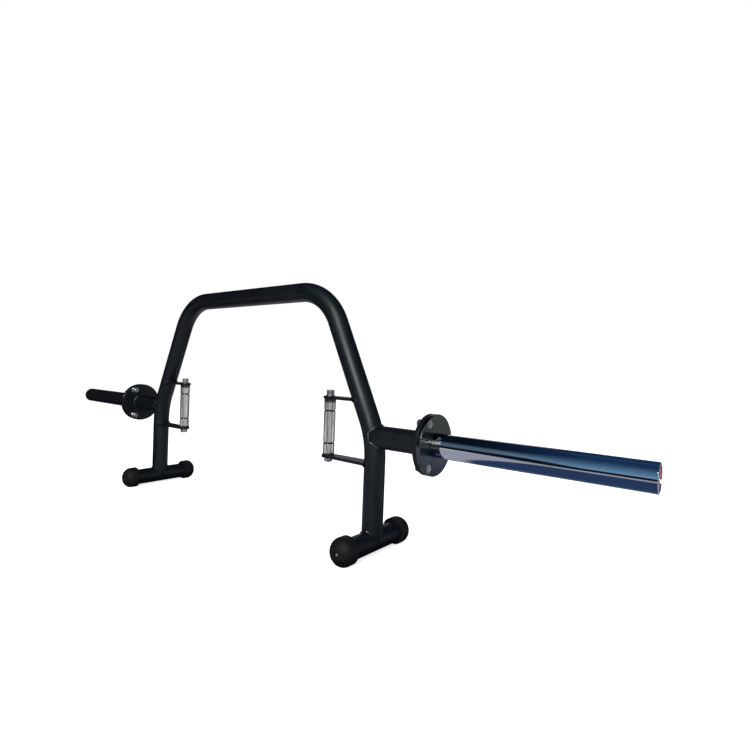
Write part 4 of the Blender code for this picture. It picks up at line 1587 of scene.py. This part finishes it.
@dataclass(frozen=True)
class ReflectedRoom:
    """Dark cards round the bar, which only gloss and metal show.

    They stand as a photographer's flags do: a dark dome with a band of blue window light, and
    coloured mats on the floor. Where they leave off, beyond the right sleeve, the white
    background shows in the metal.
    """

    radius: float = 20.0
    lift: float = 0.0005
    black: Colour = (0.003, 0.006, 0.013)
    navy: Colour = (0.008, 0.032, 0.095)
    dull_window: Colour = (0.085, 0.125, 0.180)
    clear_window: Colour = (0.170, 0.350, 0.530)
    side_wall: Colour = (0.009, 0.009, 0.010)
    back_wall: Colour = (0.300, 0.330, 0.315)
    corner_wall: Colour = (0.750, 0.770, 0.820)
    grey_mat: Colour = (0.34, 0.35, 0.42)
    pale_mat: Colour = (0.80, 0.80, 0.95)
    navy_mat: Colour = (0.024, 0.047, 0.118)
    blue_mat: Colour = (0.070, 0.100, 0.165)
    far_mat: Colour = (0.36, 0.43, 0.58)
    near_mat: Colour = (0.54, 0.545, 0.57)

    def build(self) -> None:
        """Sets up the dome and the mats."""
        dome = Shape()
        bmesh.ops.create_uvsphere(dome.mesh, u_segments=48, v_segments=24, radius=self.radius)
        self.place("dome_card", dome, self.dome_colour)
        mats = Shape()
        bmesh.ops.create_grid(mats.mesh, x_segments=1, y_segments=1, size=self.radius,
                              matrix=Matrix.Translation((0, 0, self.lift)))
        self.place("floor_mats", mats, self.mat_colour)

    @staticmethod
    def place(name: str, shape: Shape, colour: Callable) -> None:
        """Makes a card that only glossy rays meet.

        Args:
            name: The card's name.
            shape: Its shape.
            colour: Makes the card's colour and the share of it that is cut out.
        """
        card = put(name, shape.as_mesh(name))
        for ray in ("camera", "diffuse", "transmission", "volume_scatter", "shadow"):
            setattr(card, "visible_" + ray, False)
        material = bpy.data.materials.new(name)
        sheet = NodeSheet.fresh(material)
        shade, cut = colour(sheet)
        lit = sheet.add("Emission", {"Color": shade, "Strength": 1.0})
        clear = sheet.add("BsdfTransparent")
        mixed = sheet.add("MixShader", {0: cut, 1: lit.outputs[0], 2: clear.outputs[0]})
        sheet.add("OutputMaterial", {"Surface": mixed.outputs[0]})
        card.data.materials.append(material)

    def dome_colour(self, sheet: NodeSheet) -> tuple[Socket, Socket]:
        """Colours the dome by direction.

        Args:
            sheet: The dome's sheet.

        Returns:
            The colour, and the share of the dome that is left out.
        """
        place = sheet.add("TexCoord").outputs["Object"]
        ray = sheet.add("VectorMath", {0: place}, operation="NORMALIZE").outputs["Vector"]
        along, across, rise = sheet.split(ray)
        aside = sheet.maths("ABSOLUTE", along)
        ahead = sheet.ramp(aside, 0.42, 0.12)
        shares = []
        for value, low, high in (
                (ahead, (0.0, 1.0, 0.55, -0.05), (0.0, 1.0, 0.78, 1.0)),
                (aside, (0.18, 0.30, -0.02, 0.20), (0.18, 0.30, 0.02, 0.28))):
            share = sheet.add("MapRange", {"Value": rise, "From Min": sheet.ramp(value, *low),
                                           "From Max": sheet.ramp(value, *high)})
            shares.append(share.outputs["Result"])
        fade, sill = shares
        ceiling = sheet.blend(ahead, self.black, self.navy)
        window = sheet.blend(ahead, self.dull_window, self.clear_window)
        sky = sheet.maths("MAXIMUM", fade, sheet.ramp(across, 0.1, 0.5))
        wall = sheet.blend(sill, self.black, sheet.blend(sky, window, ceiling))
        wall = sheet.lay(wall, self.side_wall, [(aside, 0.52, 0.72)])
        wall = sheet.lay(wall, self.back_wall, [
            (across, 0.0, 0.2), (along, 0.1, 0.3), (along, 0.68, 0.56), (rise, 0.3, 0.15)])
        wall = sheet.lay(wall, self.corner_wall, [
            (across, 0.48, 0.65), (along, -0.2, -0.35), (rise, 0.62, 0.25)])
        return wall, sheet.area([(along, 0.74, 0.86), (rise, 0.3, 0.6, 0.6, 0.0)])

    def mat_colour(self, sheet: NodeSheet) -> tuple[Socket, Socket]:
        """Colours the mats by place, and black where reflected rays are short, as a painted contact
        shadow.

        Args:
            sheet: The mats' sheet.

        Returns:
            The colour, and the share of the mats that is left out for the pale floor.
        """
        along, across, _ = sheet.split(sheet.add("TexCoord").outputs["Object"])
        behind = sheet.maths("MAXIMUM", sheet.maths("ADD", across, 0.5), 0.0)
        leaning = sheet.maths("ADD", along, sheet.maths("MULTIPLY", behind, 0.13))
        slant = sheet.maths("SUBTRACT", sheet.maths("MULTIPLY", along, 1.3), across)
        ground = self.grey_mat
        for colour, *areas in (
                (self.pale_mat, [(along, -0.1, -0.6), (across, -0.3, 0.3)]),
                (self.near_mat, [(across, -0.7, -0.8), (along, 0.4, -0.3)]),
                (self.black, [(along, -0.2, -0.5), (across, 0.45, 0.05), (across, -0.8, -0.7)]),
                (self.navy_mat, [(leaning, 0.62, 0.66), (across, -0.55, -0.50)],
                 [(across, 0.18, 0.35), (along, -0.10, 0.10)]),
                (self.blue_mat, [(along, 0.58, 0.63), (across, 0.02, 0.18)]),
                (self.pale_mat, [(across, 0.22, 0.40), (across, 0.62, 0.50), (along, 0.62, 0.72)]),
                (self.black, [(slant, 1.55, 1.68), (across, -0.87, -0.95), (along, 1.2, 1.0)],
                 [(across, 0.98, 1.05)]),
                (self.far_mat, [(across, 0.90, 1.05), (across, 1.30, 1.55, 1.0, 0.2),
                                (along, 0.95, 1.10)]),
                (self.side_wall, [(along, -1.2, -2.0)]),
                (self.back_wall, [(across, 1.7, 1.9), (along, 0.3, 0.8)])):
            ground = sheet.lay(ground, colour, *areas)
        opening = sheet.area([(along, 1.2, 1.4), (across, 1.1, 0.9),
                              (across, -0.5, -0.35, 0.0, 0.6)])
        # Short reflected rays, which leave the bar close to the mats, see black: a painted contact
        # shadow in the reflections
        reach = sheet.add("LightPath").outputs["Ray Length"]
        return sheet.blend(sheet.ramp(reach, 0.05, 0.22), self.black, ground), opening


@dataclass(frozen=True)
class Studio:
    """A pale floor, a white background and soft lamps."""

    floor_size: float = 9.0
    pale: float = 0.86
    fill: float = 0.42
    glow: tuple[float, float] = (0.62, 0.76)
    target: tuple[float, float, float] = (0.3, 0, 0.35)
    key_place: tuple[float, float, float] = (1.48, -2.72, 2.21)
    key_size: tuple[float, float] = (0.8, 1.7)
    key_power: float = 122.0
    key_colour: Colour = (0.94, 1.0, 1.0)
    top_place: tuple[float, float, float] = (-0.4, 0.9, 3.0)
    top_size: tuple[float, float] = (3.0, 2.0)
    top_power: float = 16.0

    def build(self) -> None:
        """Builds the floor, the surroundings and the lamps."""
        self.build_floor()
        self.build_surroundings()
        key = self.add_lamp("key", self.key_place, self.key_size, self.key_power)
        key.data.color = self.key_colour
        top = self.add_lamp("top", self.top_place, self.top_size, self.top_power)
        top.visible_glossy = False
        ReflectedRoom().build()
        bpy.context.scene.view_settings.view_transform = "Standard"

    def build_floor(self) -> None:
        """Lays the floor: white, with the object's soft shadow."""
        shape = Shape()
        bmesh.ops.create_grid(shape.mesh, x_segments=1, y_segments=1, size=self.floor_size / 2)
        floor = put("floor", shape.as_mesh("floor"))
        material = bpy.data.materials.new("studio_floor")
        sheet = NodeSheet.fresh(material)
        path = sheet.add("LightPath").outputs
        pale = sheet.add("BsdfDiffuse", {"Color": (self.pale,) * 3 + (1.0,)}).outputs[0]
        strength = sheet.ramp(path["Is Camera Ray"], 0.0, 1.0, *self.glow)
        glow = sheet.add("Emission", {"Color": (1.0,) * 4, "Strength": strength})
        lit = sheet.add("AddShader", {0: pale, 1: glow.outputs[0]})
        shown = sheet.add("MixShader", {0: sheet.seen(path), 1: pale, 2: lit.outputs[0]})
        sheet.add("OutputMaterial", {"Surface": shown.outputs[0]})
        floor.data.materials.append(material)

    def build_surroundings(self) -> None:
        """Makes the world: white to the eye and in metal, and a soft fill light."""
        world = bpy.data.worlds.new("studio")
        bpy.context.scene.world = world
        sheet = NodeSheet.fresh(world)
        seen = sheet.seen(sheet.add("LightPath").outputs)
        colour = sheet.blend(seen, (self.fill,) * 3, (1.0, 1.0, 1.0))
        surface = sheet.add("Background", {"Color": colour, "Strength": 1.0})
        sheet.add("OutputWorld", {"Surface": surface.outputs[0]})

    def add_lamp(self, name: str, place: Sequence[float], size: tuple[float, float],
                 power: float) -> bpy.types.Object:
        """Hangs a soft lamp that points at the bar.

        Args:
            name: The lamp's name.
            place: Where it hangs.
            size: Its width and height.
            power: Its power in watts.

        Returns:
            The lamp.
        """
        data = bpy.data.lights.new(name, "AREA")
        data.shape = "RECTANGLE"
        data.size, data.size_y = size
        data.energy = power
        lamp = put(name, data)
        lamp.matrix_world = towards(Vector(place), Vector(place) - Vector(self.target))
        return lamp


def main() -> None:
    """Builds the bar's looks and the studio round it."""
    shop = Paintshop()
    shop.dress_nodes()
    tube = FrameTube()
    fasteners = Fasteners()
    ArchedFrame(shop, tube).build()
    RubberFeet(shop, fasteners).build()
    Sleeves(shop, fasteners).build()
    Grips(shop, fasteners).build()
    Viewpoint().build(tube.foot_z)
    Studio().build()


if __name__ == "__main__":
    main()
